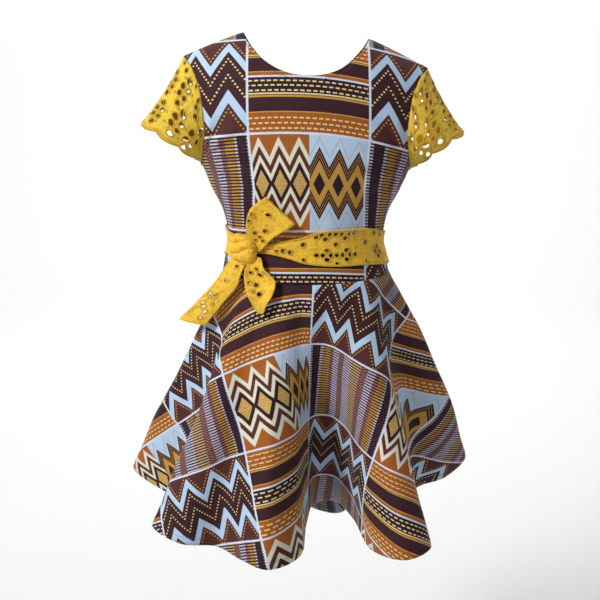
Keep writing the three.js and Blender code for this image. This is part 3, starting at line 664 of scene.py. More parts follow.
class Nodes:
    """Writes node trees as sums and products of sockets."""

    def __init__(self, tree):
        self.tree = tree

    def new(self, kind, **values):
        """A new node with some of its settings."""
        node = self.tree.nodes.new(kind)
        for key, value in values.items():
            setattr(node, key, value)
        return node

    def put(self, socket, value):
        """Links a socket to another, or gives it a constant."""
        if isinstance(value, bpy.types.NodeSocket):
            self.tree.links.new(value, socket)
        else:
            socket.default_value = value

    def math(self, operation, a, b=0.0, c=0.0, clamp=False):
        node = self.new("ShaderNodeMath", operation=operation, use_clamp=clamp)
        for socket, value in zip(node.inputs, (a, b, c)):
            self.put(socket, value)
        return node.outputs[0]

    def add(self, a, b):
        return self.math("ADD", a, b)

    def sub(self, a, b):
        return self.math("SUBTRACT", a, b)

    def mul(self, a, b):
        return self.math("MULTIPLY", a, b)

    def less(self, a, b):
        return self.math("LESS_THAN", a, b)

    def more(self, a, b):
        return self.math("GREATER_THAN", a, b)

    def near(self, a, centre, half):
        """1 within half of centre."""
        return self.math("COMPARE", a, centre, half)

    def wrap(self, a, period):
        """The remainder after whole periods."""
        return self.math("FLOORED_MODULO", a, period)

    def mix(self, share, a, b):
        """Colour a where the share is 0, and b where it is 1."""
        node = self.new("ShaderNodeMix", data_type="RGBA")
        self.put(node.inputs[0], share)
        self.put(node.inputs[6], a)
        self.put(node.inputs[7], b)
        return node.outputs[2]

    def bands(self, value, length, stops):
        """Colours in bands along a length: stops are (start, colour) with sharp changes."""
        node = self.new("ShaderNodeValToRGB")
        ramp = node.color_ramp
        ramp.interpolation = "CONSTANT"
        for i, (start, colour) in enumerate(stops):
            if i < 2:
                element = ramp.elements[i]
                element.position = start / length
            else:
                element = ramp.elements.new(start / length)
            element.color = colour
        self.put(node.inputs[0], self.mul(value, 1.0 / length))
        return node.outputs[0]

    def rows(self, value, length, thickness, centres):
        """1 on thin lines at the centres along a length."""
        stops = [(0, (0, 0, 0, 1))]
        for centre in centres:
            stops.append((centre - thickness / 2, (1, 1, 1, 1)))
            stops.append((centre + thickness / 2, (0, 0, 0, 1)))
        return self.bands(value, length, stops)

    def noise(self, vector, scale, detail=2.0, rough=0.5):
        node = self.new("ShaderNodeTexNoise")
        node.inputs["Scale"].default_value = scale
        node.inputs["Detail"].default_value = detail
        node.inputs["Roughness"].default_value = rough
        self.put(node.inputs["Vector"], vector)
        return node.outputs[0]


def group(name, inputs, outputs):
    """A new shader node group; inputs and outputs are (name, socket type, value) rows."""
    tree = bpy.data.node_groups.new(name, "ShaderNodeTree")
    for in_out, rows in (("INPUT", inputs), ("OUTPUT", outputs)):
        for label, kind, value in rows:
            socket = tree.interface.new_socket(label, in_out=in_out, socket_type=kind)
            if value is not None:
                socket.default_value = value
    n = Nodes(tree)
    return n, n.new("NodeGroupInput").outputs, n.new("NodeGroupOutput").inputs


FLOAT, COLOUR, VECTOR = "NodeSocketFloat", "NodeSocketColor", "NodeSocketVector"
CELL_INPUTS = [("Across", FLOAT, 0.0), ("Down", FLOAT, 0.0)]  # of each group that fills a cell
LINE_HALF = 1.2  # half the white lines between the cells, in millimetres
WOBBLE = 0.7  # how unevenly the print took


def lattice_group():
    """Finds the printed cell at a place on the cloth, in millimetres: across and down inside the cell,
    and which of the two kinds of column and row it is in."""
    n, inp, out = group(
        "print_lattice",
        [("Cloth", VECTOR, None), ("Line across", FLOAT, COLUMN_LINE), ("Line down", FLOAT, ROW_LINE)],
        [("Across", FLOAT, None), ("Down", FLOAT, None), ("Second column", FLOAT, None),
         ("Second row", FLOAT, None), ("Border", FLOAT, None)],
    )
    split = n.new("ShaderNodeSeparateXYZ")
    n.put(split.inputs[0], inp[0])
    wobble = n.mul(n.sub(n.noise(inp[0], 900.0, 1.0), 0.5), WOBBLE)
    u = n.sub(n.add(n.mul(split.outputs[0], 1 / MM), wobble), inp[1])
    v = n.sub(n.add(n.mul(split.outputs[1], 1 / MM), wobble), inp[2])
    across = n.wrap(u, COLUMN_WIDTH)
    down = n.wrap(v, ROW_HEIGHT)
    second_column = n.more(n.wrap(u, 2 * COLUMN_WIDTH), COLUMN_WIDTH)
    second_row = n.more(n.wrap(v, 2 * ROW_HEIGHT), ROW_HEIGHT)
    off_column = n.math("ABSOLUTE", n.sub(across, COLUMN_WIDTH / 2))
    off_row = n.math("ABSOLUTE", n.sub(down, ROW_HEIGHT / 2))
    line = n.math("MAXIMUM", n.more(off_column, COLUMN_WIDTH / 2 - LINE_HALF),
                  n.more(off_row, ROW_HEIGHT / 2 - LINE_HALF))
    for socket, value in zip(out, (across, down, second_column, second_row, line)):
        n.put(socket, value)
    return n.tree


STRIPES = [  # start down the cell, in millimetres, and colour
    (0, ORANGE), (21.2, PALE_GOLD), (22.4, BROWN), (23.2, GOLD), (24.8, DARK_BROWN), (40.4, GOLD),
    (41.6, ORANGE), (45, WHITE_LINE), (46.8, PLUM), (63.2, PALE_GOLD), (64.6, BROWN), (65.6, GOLD),
    (67.6, DARK_BROWN), (82, GOLD), (83.2, ORANGE),
]
DASH_ROWS = [5.4, 11, 16.5, 50.4, 55.6, 60.6, 88.2, 93.7, 99]
FAINT_ROWS = [28.6, 32.6, 36.8, 71, 75, 79]
DASH_PITCH, DASH_LENGTH, DASH_STAGGER, DASH_STEP = 7.2, 4.7, 3.1, 5.4


def stripes_group():
    """Bands across the cell, with rows of short dashes on the orange and plum ones and three faint
    dark rows on the brown ones."""
    n, inp, out = group("print_stripes", CELL_INPUTS, [("Colour", COLOUR, None), ("Thread", FLOAT, None)])
    ground = n.bands(inp[1], ROW_HEIGHT, STRIPES)
    pale = n.rows(inp[1], ROW_HEIGHT, 1.6, DASH_ROWS)
    faint = n.rows(inp[1], ROW_HEIGHT, 0.8, FAINT_ROWS)
    stagger = n.mul(n.math("FLOOR", n.mul(inp[1], 1 / DASH_STEP)), DASH_STAGGER)
    dash = n.less(n.wrap(n.add(inp[0], stagger), DASH_PITCH), DASH_LENGTH)
    dashes = n.mul(pale, dash)
    colour = n.mix(n.mul(faint, n.mul(dash, 0.6)), ground, PLUM)
    n.put(out[0], n.mix(dashes, colour, PALE_GOLD))
    n.put(out[1], dashes)
    return n.tree


def tent(n, value, period, height):
    """A zigzag line: 0 at each multiple of the period, and height half-way between."""
    return n.mul(n.math("PINGPONG", value, period / 2), height / (period / 2))


DIAMOND_HEIGHT = 20.5  # half the height of a zigzag
DIAMOND_SPAN = 76.0
GOLDEN_MIDDLE = 14.6
WARM_DIAMOND = [  # start outward from a diamond's middle, and colour
    (0, GOLD), (GOLDEN_MIDDLE, PLUM), (22.4, GOLD), (23.3, CREAM), (29.8, GOLD), (30.7, BROWN),
    (38.7, GOLD), (39.5, CREAM), (48, GOLD), (48.9, ORANGE),
]
COOL_DIAMOND = [
    (0, PLUM), (12.6, GOLD), (25, DARK_BROWN), (29, GOLD), (29.8, DARK_BROWN), (33.4, GOLD),
    (34.2, DARK_BROWN), (38.8, PALE_BLUE), (47.8, GOLD), (49.1, PALE_BLUE),
]


def diamonds_group():
    """Zigzags that mirror about the middle row and close into diamonds. The first three are on orange,
    with a golden diamond; the other three on pale blue, with a plum one."""
    n, inp, out = group("print_diamonds", CELL_INPUTS, [("Colour", COLOUR, None), ("Glitter", FLOAT, None)])
    middle = n.math("ABSOLUTE", n.sub(inp[1], ROW_HEIGHT / 2))
    rise = tent(n, inp[0], COLUMN_WIDTH / 6, DIAMOND_HEIGHT)
    level = n.add(n.sub(DIAMOND_HEIGHT, rise), middle)
    warm = n.bands(level, DIAMOND_SPAN, WARM_DIAMOND)
    cool = n.bands(level, DIAMOND_SPAN, COOL_DIAMOND)
    warm_half = n.less(inp[0], COLUMN_WIDTH / 2)
    n.put(out[0], n.mix(warm_half, cool, warm))
    n.put(out[1], n.mul(warm_half, n.less(level, GOLDEN_MIDDLE)))
    return n.tree


CHEVRON_HEIGHT, CHEVRON_RAISE, CHEVRON_SPAN = 27.5, 30.0, 134.0
CHEVRONS = [  # start down from a raised zigzag, and colour
    (0, BROWN), (33.2, PLUM), (34, PALE_BLUE), (45.2, PLUM), (46.2, DARK_BROWN), (86.6, PLUM),
    (87.5, PALE_BLUE), (101.5, PLUM), (102.3, BROWN),
]
DOT_LINES = [28.0, 54.5, 72.6, 107.6]
PALE_DOTS_AT, PALE_DOTS_HALF = 63.5, 15.0  # the dots on the middle chevron are paler
DOTS_EACH_PERIOD, DOT_RADIUS = 16, 1.0


def chevrons_group():
    """Two broad pale zigzags, with lines of round dots that follow them."""
    n, inp, out = group("print_chevrons", CELL_INPUTS, [("Colour", COLOUR, None), ("Dots", FLOAT, None)])
    period = COLUMN_WIDTH / 4
    drop = tent(n, n.add(inp[0], period / 2), period, CHEVRON_HEIGHT)
    level = n.add(n.sub(inp[1], drop), CHEVRON_RAISE)
    colour = n.bands(level, CHEVRON_SPAN, CHEVRONS)
    spacing = period / DOTS_EACH_PERIOD
    step = n.sub(n.wrap(n.add(inp[0], spacing / 2), spacing), spacing / 2)
    dot_drop = tent(n, n.add(n.sub(inp[0], step), period / 2), period, CHEVRON_HEIGHT)
    dot_level = n.add(n.sub(inp[1], dot_drop), CHEVRON_RAISE)
    off = None
    for row in DOT_LINES:
        here = n.math("ABSOLUTE", n.sub(dot_level, row))
        off = here if off is None else n.math("MINIMUM", off, here)
    dots = n.less(n.add(n.mul(off, off), n.mul(step, step)), DOT_RADIUS**2)
    dot_colour = n.mix(n.near(level, PALE_DOTS_AT, PALE_DOTS_HALF), GOLD, PALE_GOLD)
    n.put(out[0], n.mix(dots, colour, dot_colour))
    n.put(out[1], dots)
    return n.tree


IKAT = [  # start across the cell, thread colour, kind: 0 solid, 1 bars, 2 checks
    (0, PLUM, 0), (1, BAR_WHITE, 1), (4.5, PLUM, 0), (15.5, BAR_WHITE, 1), (18.5, GOLD, 1),
    (29.5, DUSTY_PINK, 1), (35.5, BAR_WHITE, 1), (45.5, DUSTY_PINK, 2), (56, BAR_WHITE, 1), (72, TAN, 1),
    (87.5, DUSTY_PINK, 2), (97.5, BAR_WHITE, 1), (107.5, DUSTY_PINK, 1), (113.5, GOLD, 1),
    (123.5, BAR_WHITE, 1), (126.5, PLUM, 0), (135.5, BAR_WHITE, 1),
]
BARS_EACH_CELL, BAR_SHARE = 30, 0.46
CHECK_WIDTH = 2.6


def ikat_group():
    """Columns of short bars across the cell, each column in its own colour."""
    n, inp, out = group("print_ikat", CELL_INPUTS, [("Colour", COLOUR, None), ("Thread", FLOAT, None)])
    period = ROW_HEIGHT / BARS_EACH_CELL
    thread = n.bands(inp[0], COLUMN_WIDTH, [(start, colour) for start, colour, _ in IKAT])
    kind = n.bands(inp[0], COLUMN_WIDTH, [(start, (k / 2, k / 2, k / 2, 1)) for start, _, k in IKAT])
    bar = n.less(n.wrap(inp[1], period), period * BAR_SHARE)
    checked = n.near(kind, 1.0, 0.2)
    shift = n.mul(n.more(n.wrap(inp[0], 2 * CHECK_WIDTH), CHECK_WIDTH), period / 2)
    check = n.less(n.wrap(n.add(inp[1], shift), period), period * 0.5)
    on = n.mix(checked, n.mul(bar, n.more(kind, 0.2)), check)
    ground = n.mix(n.less(kind, 0.2), DARK_BROWN, PLUM)
    faint = n.mul(n.mul(n.less(kind, 0.2), bar), 0.35)
    ground = n.mix(faint, ground, BROWN)
    n.put(out[0], n.mix(on, ground, thread))
    n.put(out[1], on)
    return n.tree


def use(n, tree, *values):
    """Places a group in a tree with its own values, and gives its outputs."""
    node = n.new("ShaderNodeGroup", node_tree=tree)
    for socket, value in zip(node.inputs, values):
        if value is not None:
            n.put(socket, value)
    return node.outputs


def print_group():
    """The whole printed cloth: the lattice of cells, filled with stripes, diamonds, chevrons and ikat."""
    lattice, stripes, diamonds = lattice_group(), stripes_group(), diamonds_group()
    chevrons, ikat = chevrons_group(), ikat_group()
    n, inp, out = group(
        "print_cloth",
        # Fade is 1 on the reverse: less saturated and without gold, which is its own look, and mixed toward
        # a painted shade.
        [("Cloth", VECTOR, None), ("Fade", FLOAT, 0.0)],
        [("Colour", COLOUR, None), ("Gold", FLOAT, None)],
    )
    cell = use(n, lattice, inp[0])
    across, down, second_column, second_row, line = cell
    s = use(n, stripes, across, down)
    d = use(n, diamonds, across, down)
    c = use(n, chevrons, across, down)
    k = use(n, ikat, across, down)
    first = n.mix(second_row, c[0], k[0])
    second = n.mix(second_row, s[0], d[0])
    colour = n.mix(second_column, first, second)
    gold = n.mul(n.mul(second_column, second_row), d[1])
    # Painted highlights: pale-gold specks where a fine noise passes a threshold on the golden print, for
    # its glitter catching the light.
    glint = n.mul(gold, n.more(n.noise(inp[0], 900.0, 2.0), 0.53))
    colour = n.mix(n.mul(glint, 0.75), colour, PALE_GOLD)
    colour = n.mix(line, colour, WHITE_LINE)
    tone = n.new("ShaderNodeHueSaturation")
    fibre = n.noise(inp[0], 2400.0, 3.0, 0.6)
    n.put(tone.inputs["Value"], n.add(0.93, n.mul(fibre, 0.14)))
    n.put(tone.inputs["Saturation"], n.sub(1.0, n.mul(inp[1], 0.45)))
    n.put(tone.inputs["Color"], colour)
    # On the reverse the print is less saturated, its own look, and mixed half toward a dark grey-blue of
    # painted shade.
    n.put(out[0], n.mix(n.mul(inp[1], 0.5), tone.outputs[0], REVERSE_SHADE))
    n.put(out[1], n.mul(gold, n.sub(1.0, inp[1])))
    return n.tree


def weave_group():
    """Plain weave: threads over and under, and a slow unevenness between them."""
    n, inp, out = group(
        "plain_weave",
        [("Cloth", VECTOR, None), ("Threads per metre", FLOAT, 1400.0), ("Unevenness", FLOAT, 0.4)],
        [("Height", FLOAT, None), ("Roughness change", FLOAT, None)],
    )
    split = n.new("ShaderNodeSeparateXYZ")
    n.put(split.inputs[0], inp[0])
    half = n.mul(inp[1], math.pi)
    warp = n.math("SINE", n.mul(split.outputs[0], half))
    weft = n.math("SINE", n.mul(split.outputs[1], half))
    height = n.mul(n.mul(warp, weft), 0.5)
    slow = n.sub(n.noise(inp[0], 320.0, 3.0), 0.5)
    n.put(out[0], n.add(height, n.mul(slow, inp[2])))
    n.put(out[1], n.mul(slow, 0.16))
    return n.tree


print_tree = print_group()
weave_tree = weave_group()


COTTON_THREADS, LACE_THREADS = 1400.0, 1100.0  # per metre
CLOTH_ROUGHNESS, SATIN_ROUGHNESS = 0.74, 0.5


def fabric(name, specular, sheen, sheen_rough, relief, strength):
    """A cloth's material with its constants set: itself, its node writer, its shader's inputs, the
    cloth's coordinates and the socket for the height of its relief, which is given in metres."""
    material = bpy.data.materials.new(name)
    material.use_nodes = True
    n = Nodes(material.node_tree)
    inputs = material.node_tree.nodes["Principled BSDF"].inputs
    inputs["Specular IOR Level"].default_value = specular
    inputs["Sheen Weight"].default_value = sheen
    inputs["Sheen Roughness"].default_value = sheen_rough
    bump = n.new("ShaderNodeBump")
    bump.inputs["Distance"].default_value = relief
    bump.inputs["Strength"].default_value = strength
    n.put(inputs["Normal"], bump.outputs[0])
    cloth = n.new("ShaderNodeUVMap", uv_map="cloth").outputs[0]
    return material, n, inputs, cloth, bump.inputs["Height"]


def plain(name, colour, roughness):
    """A material of one colour."""
    material = bpy.data.materials.new(name)
    material.use_nodes = True
    inputs = material.node_tree.nodes["Principled BSDF"].inputs
    inputs["Base Color"].default_value = colour
    inputs["Roughness"].default_value = roughness
    return material


def cotton(name, fade):
    """Printed cotton in plain weave; fade is 0 on its face and 1 on its reverse, where the print is less
    saturated and mixed half toward a dark grey-blue of painted shade.
    """
    material, n, inputs, cloth, bump_height = fabric(
        name, specular=0.18, sheen=0.04, sheen_rough=0.45, relief=0.0002, strength=0.6
    )
    colour, gold = use(n, print_tree, cloth, fade)
    height, change = use(n, weave_tree, cloth, COTTON_THREADS, 0.5)
    n.put(inputs["Base Color"], colour)
    n.put(inputs["Roughness"], n.sub(n.add(CLOTH_ROUGHNESS, change), n.mul(gold, 0.3)))
    n.put(inputs["Metallic"], n.mul(gold, 0.35))
    n.put(bump_height, height)
    return material


def satin_group():
    """Satin stitch: fine threads side by side across the way the stitching runs."""
    n, inp, out = group(
        "satin_stitch", [("Cloth", VECTOR, None), ("Pitch", FLOAT, 0.7)], [("Height", FLOAT, None)]
    )
    split = n.new("ShaderNodeSeparateXYZ")
    n.put(split.inputs[0], inp[0])
    along = n.math("DIVIDE", n.mul(split.outputs[0], 1000.0 * math.pi), inp[1])
    n.put(out[0], n.math("ABSOLUTE", n.math("SINE", along)))
    return n.tree


satin_tree = satin_group()


def embroidery_group():
    """Tonal embroidery between the eyelets: rings of thread on a slightly uneven grid, and the pucker of
    the cloth that they draw in.
    Its third output is painted shade: a share that grows where the pucker sinks."""
    n, inp, out = group(
        "tonal_embroidery",
        [("Cloth", VECTOR, None), ("Rings per metre", FLOAT, 105.0), ("Pucker", FLOAT, 1.0)],
        [("Height", FLOAT, None), ("Thread", FLOAT, None), ("Painted hollow shade", FLOAT, None)],
    )
    cells = n.new("ShaderNodeTexVoronoi", feature="F1")
    n.put(cells.inputs["Vector"], inp[0])
    n.put(cells.inputs["Scale"], inp[1])
    cells.inputs["Randomness"].default_value = 0.45
    ring = n.near(cells.outputs["Distance"], 0.3, 0.055)
    petal = n.less(cells.outputs["Distance"], 0.12)
    thread_on = n.math("MAXIMUM", ring, petal)
    pucker = n.sub(n.noise(inp[0], 260.0, 3.0, 0.6), 0.5)
    height = n.add(n.mul(thread_on, 0.5), n.mul(n.mul(pucker, inp[2]), 2.6))
    n.put(out[0], height)
    n.put(out[1], thread_on)
    # Painted shade: a share that grows where the pucker sinks.
    n.put(out[2], n.math("SUBTRACT", 0.5, n.mul(pucker, 2.4), clamp=True))
    return n.tree


embroidery_tree = embroidery_group()


def lace_material(name, painted_light_share, satin=False, tone=LACE_SHADE):
    """Eyelet lace, or the satin thread on it, mixed by a share toward a second tone that is painted light
    or shade.
    """
    material, n, inputs, cloth, bump_height = fabric(
        name, specular=0.2, sheen=0.05, sheen_rough=0.5, relief=0.0007, strength=0.8
    )
    if satin:
        height = use(n, satin_tree, cloth)[0]
        roughness = SATIN_ROUGHNESS
        # Painted shade in the grooves between the satin threads, and the lace's own pale yellow on their
        # tops.
        colour = n.mix(height, RIM_GROOVE_SHADE, LACE_LIGHT)
    else:
        weave, change = use(n, weave_tree, cloth, LACE_THREADS, 0.9)
        relief, thread_on, painted_hollow_shade = use(n, embroidery_tree, cloth)
        height = n.add(n.mul(weave, 0.15), relief)
        roughness = n.add(CLOTH_ROUGHNESS, change)
        # Painted shade: deeper yellow where the pucker sinks.
        colour = n.mix(painted_hollow_shade, LACE_LIGHT, LACE_HOLLOW_SHADE)
        colour = n.mix(n.mul(thread_on, 0.35), colour, LACE_SHADE)
    # The share toward the second tone is painted light or shade.
    n.put(inputs["Base Color"], n.mix(painted_light_share, colour, tone))
    n.put(inputs["Roughness"], roughness)
    n.put(bump_height, height)
    return material


printed = cotton("printed_cotton", 0.0)
# The reverse's colour is partly painted shade: its print is mixed half toward a dark grey-blue.
reverse = cotton("printed_cotton_reverse", 1.0)
sewing_thread = plain("sewing_thread", srgb(92, 58, 50), 0.6)
# Painted shade: the sash, bow and knot lace mixed 0.1 toward dark orange, as they lie in shade.
lace_face = lace_material("eyelet_lace", 0.1)
# Painted light: the same lace mixed 0.4 toward lemon, for the cooler daylight on the sleeves.
sleeve_lace_painted_daylight = lace_material("eyelet_lace_sleeve_painted_daylight", 0.4, tone=LACE_DAYLIGHT_TINT)
# Painted shade: the lace's reverse mixed 0.85 toward dark orange, for the shadow inside the sleeves.
lace_back_painted_shade = lace_material("eyelet_lace_reverse_painted_shade", 0.85)
thread = lace_material("satin_thread", 0.0, satin=True)

# ---- Sewing ----

STITCH_PITCH, STITCH_LENGTH, STITCH_RADIUS = 3.4, 2.6, 0.3
HEM_STITCH = 9.0  # above the hem
NECK_STITCH_U = 0.49  # as far as the neck points
NECK_STITCH_V = 0.933  # about 5 mm below the neck's edge


def stitch_row(name, surface, path):
    """Short stitches along a path of a surface's parameters: each is a little four-sided spindle that
    dips into the cloth at both ends."""
    fine = np.linspace(0, 1, 4000)
    place = np.linspace(0, 1, len(path))
    u, v = np.interp(fine, place, path[:, 0]), np.interp(fine, place, path[:, 1])
    run = length_along(surface(u, v))
    starts = np.arange(STITCH_PITCH / 2, run[-1] - STITCH_PITCH, STITCH_PITCH)
    at = starts[:, None] + np.array([0.0, 0.25, 0.75, 1.0]) * STITCH_LENGTH
    u, v = np.interp(at, run, u), np.interp(at, run, v)
    p = surface(u, v)
    normal = normal_of(surface, u, v, p)
    outward = np.where((normal[..., :2] * p[..., :2]).sum(-1, keepdims=True) < 0, -normal, normal)
    side = unit(np.cross(outward, p[:, -1:] - p[:, :1]))
    lift = np.array([-0.6, 0.7, 0.7, -0.6]) * STITCH_RADIUS
    thick = np.array([0.4, 1.0, 1.0, 0.4]) * STITCH_RADIUS
    phi = np.arange(4) * np.pi / 2
    ring = (
        p[:, :, None]
        + thick[None, :, None, None] * np.cos(phi)[None, None, :, None] * side[:, :, None]
        + (lift[:, None] + thick[:, None] * np.sin(phi))[None, :, :, None] * outward[:, :, None]
    )
    count = len(starts)
    i, j = np.meshgrid(np.arange(3), np.arange(4), indexing="ij")
    j2 = (j + 1) % 4
    quad = np.stack([i * 4 + j, i * 4 + j2, i * 4 + 4 + j2, i * 4 + 4 + j], -1).reshape(-1, 4)
    quads = (quad[None] + 16 * np.arange(count)[:, None, None]).reshape(-1, 4)
    points = ring.reshape(-1, 3)
    piece = soft_mesh(name, points, quads.tolist(), points[:, :2])
    piece.data.materials.append(sewing_thread)
    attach(piece, "root")
    return piece


# ---- Bodice ----

SEAM_SHARE = 0.0015  # of a panel's half width, left free at its seams
BODICE_ROWS = 110
ROW_CROWDING = 1.15  # the rows lie closer near the waist


def bodice_panel(name, face, u_from, u_to, cols):
    """A bodice panel on a grid of its two parameters, with its print and its wall."""
    u, v = np.meshgrid(np.linspace(u_from, u_to, cols + 1), np.linspace(0, 1, BODICE_ROWS + 1))
    v = 1 - (1 - v) ** ROW_CROWDING
    x, z = bodice_plan(face, u, v)
    piece = grid_piece(name, bodice(face, u, v), np.stack(bodice_cloth(x, z), -1), flip=face > 0)
    thicken(piece, CLOTH)
    return piece


for node, face, u_from, u_to, cols, flat, area in (
    ("bodice_front", -1, -1 + SEAM_SHARE, 1 - SEAM_SHARE, 120, (0.36, 0.3), 0.075),
    ("bodice_back_left", 1, SEAM_SHARE, 1 - SEAM_SHARE, 60, (0.18, 0.3), 0.036),
    ("bodice_back_right", 1, -1 + SEAM_SHARE, -SEAM_SHARE, 60, (0.18, 0.3), 0.036),
):
    piece = bodice_panel(node + "_cloth", face, u_from, u_to, cols)

    def panel(u, v, face=face):
        """The bodice's surface on this side."""
        return bodice(face, u, v)

    neck = np.linspace(max(u_from, -NECK_STITCH_U), min(u_to, NECK_STITCH_U), 60)
    path = np.stack([neck, np.full_like(neck, NECK_STITCH_V)], 1)
    seam = stitch_row(node + "_neck_stitches", panel, path)
    dress_with(piece, node, [printed, reverse])

# ---- Skirt ----

SEAM_TURN = 0.0001  # left free at the side and back seams
WAIST_GAP = 0.0005  # left free at the waist seam
SKIRT_ROWS = 70


def skirt_panel(name, turn_from, turn_to, cols):
    """A skirt panel on a grid of the turn and the way down, with its print and its wall."""
    turn, down = np.meshgrid(
        np.linspace(turn_from + SEAM_TURN, turn_to - SEAM_TURN, cols + 1),
        np.linspace(1, WAIST_GAP, SKIRT_ROWS + 1),
    )
    piece = grid_piece(name, skirt(turn, down), np.stack(skirt_cloth(turn, down), -1))
    thicken(piece, CLOTH)
    return piece


def ring_area(turns, hem):
    """Area in square metres of a part of the flat ring between the waist and the hem."""
    return turns * math.pi * (hem**2 - FLAT_WAIST**2) * MM**2


front_area = ring_area(1 / 2, FLAT_WAIST + SKIRT_FRONT)
back_area = ring_area(1 / 4, FLAT_WAIST + (SKIRT_FRONT + SKIRT_BACK) / 2)
for node, turn_from, turn_to, cols, flat, area in (
    ("skirt_front", -0.25, 0.25, 260, (0.862, 0.431), front_area),
    ("skirt_back_left", 0.25, 0.5, 180, (0.442, 0.453), back_area),
    ("skirt_back_right", 0.5, 0.75, 180, (0.442, 0.453), back_area),
):
    piece = skirt_panel(node + "_cloth", turn_from, turn_to, cols)
    turn = np.linspace(turn_from + SEAM_TURN, turn_to - SEAM_TURN, 400)
    path = np.stack([turn, np.full_like(turn, 1 - HEM_STITCH / SKIRT_FRONT)], 1)
    seam = stitch_row(node + "_hem_stitches", skirt, path)
    dress_with(piece, node, [printed, reverse])

# ---- Eyelet lace ----

OPEN = 1.16  # the stitched opening against the plain cut one
OPEN_BEHIND = 0.88  # and on the back half of a sleeve, where the lace is drawn less
RIM_CLOSE, RIM_CLEAR, RING_CLEAR = 0.6, 1.3, 1.9  # millimetres out from an eyelet's edge
SPRAY_LEAVES = [  # satin leaves between the eyelets: x, y, and their half sizes
    (-11.5, -9.5, 3.0, 1.7), (11.2, -7.8, 3.0, 1.6), (0.4, -1.2, 2.9, 1.2), (-11.8, 8.8, 2.9, 1.6),
    (10.5, 9.6, 2.8, 1.5), (-2.6, 11.2, 1.6, 2.9),
]
STEM = [(-6.5, -15), (0.6, -8), (-0.6, -1), (1.2, 6), (-0.5, 16)]
CORD_SIDES = 6
RIM_HALF, RIM_HIGH = 0.85, 0.6  # half widths and heights of the thread work, in millimetres
STEM_HALF, STEM_HIGH = 0.5, 0.4
LEAF_HIGH, EDGE_CORD_HIGH = 0.55, 0.7
EDGE_CLEAR = 0.02  # leaves and stems stop this share short of a piece's edge


def motif_holes(surface, places, opening):
    """Each eyelet of each motif in the surface's own parameters: its centre, the two parameter steps
    that make one millimetre across and along the cloth, and its half sizes."""
    h = 0.01
    holes = []
    for motif, u, v, mirror in places:
        uv = np.array([[u, v], [u + h, v], [u, v + h]])
        p = surface(uv[:, 0], uv[:, 1])
        du = h / np.linalg.norm(p[1] - p[0])
        dv = h / np.linalg.norm(p[2] - p[0])
        for x, y, across, along in motif:
            holes.append((u + x * mirror * du, v + y * dv, du, dv, across * opening, along * opening))
    return np.array(holes)


def oval(hole, grow, count, phase=0.0):
    """The outline of an eyelet, grown by some millimetres, in the surface's parameters."""
    u, v, du, dv, across, along = hole
    t = np.linspace(0, 2 * np.pi, count, endpoint=False) + phase
    return np.stack([u + (across + grow) * np.cos(t) * du, v + (along + grow) * np.sin(t) * dv], 1)


def beyond(uv, hole, grow):
    """Above 1 outside an eyelet grown by some millimetres."""
    u, v, du, dv, across, along = hole
    return ((uv[:, 0] - u) / du / (across + grow)) ** 2 + ((uv[:, 1] - v) / dv / (along + grow)) ** 2


def lace_sheet(name, surface, holes, cols, rows, aspect, flip, size):
    """A sheet over the unit square with its eyelets left out: a constrained triangulation of the flat
    square, put through the surface function."""
    edge_u = np.linspace(0, 1, cols + 1)
    edge_v = np.linspace(0, 1, rows + 1)
    border = np.vstack([
        np.stack([edge_u, np.zeros_like(edge_u)], 1)[:-1],
        np.stack([np.ones_like(edge_v), edge_v], 1)[:-1],
        np.stack([edge_u[::-1], np.ones_like(edge_u)], 1)[:-1],
        np.stack([np.zeros_like(edge_v), edge_v[::-1]], 1)[:-1],
    ])
    stretch = np.array([aspect, 1.0])
    verts, edges, start = [], [], 0
    for loop in [border] + [oval(h, 0.0, 14) for h in holes]:
        count = len(loop)
        verts.append(loop)
        edges += [(start + i, start + (i + 1) % count) for i in range(count)]
        start += count
    inner = np.stack(np.meshgrid(edge_u[1:-1], edge_v[1:-1]), -1).reshape(-1, 2)
    rings = np.vstack([oval(h, RIM_CLEAR, 12, 0.2) for h in holes])
    keep = np.ones(len(inner), bool)
    for hole in holes:
        keep &= beyond(inner, hole, RING_CLEAR) > 1
    inside = ((rings > 0.004) & (rings < 0.996)).all(1)
    verts += [inner[keep], rings[inside]]
    flat = np.vstack(verts) * stretch
    result = delaunay_2d_cdt([Vector(p) for p in flat], edges, [], 0, 1e-6)
    uv = np.array([tuple(p) for p in result[0]]) / stretch
    tris = np.array(result[2])
    middle = uv[tris].mean(1)
    solid = np.ones(len(tris), bool)
    for hole in holes:
        solid &= beyond(middle, hole, 0.0) > 0.93
    tris = tris[solid]
    used, inverse = np.unique(tris, return_inverse=True)
    tris = inverse.reshape(-1, 3)
    uv = uv[used]
    corner = uv[tris]
    area = np.cross(corner[:, 1] - corner[:, 0], corner[:, 2] - corner[:, 0])
    tris[area < 0] = tris[area < 0][:, ::-1]
    tris = tris[np.abs(area) > 1e-12]
    if flip:
        tris = tris[:, ::-1]
    points = surface(uv[:, 0], uv[:, 1])
    piece = soft_mesh(name, points, tris.tolist(), uv * np.array(size))
    thicken(piece, LACE)
    return piece


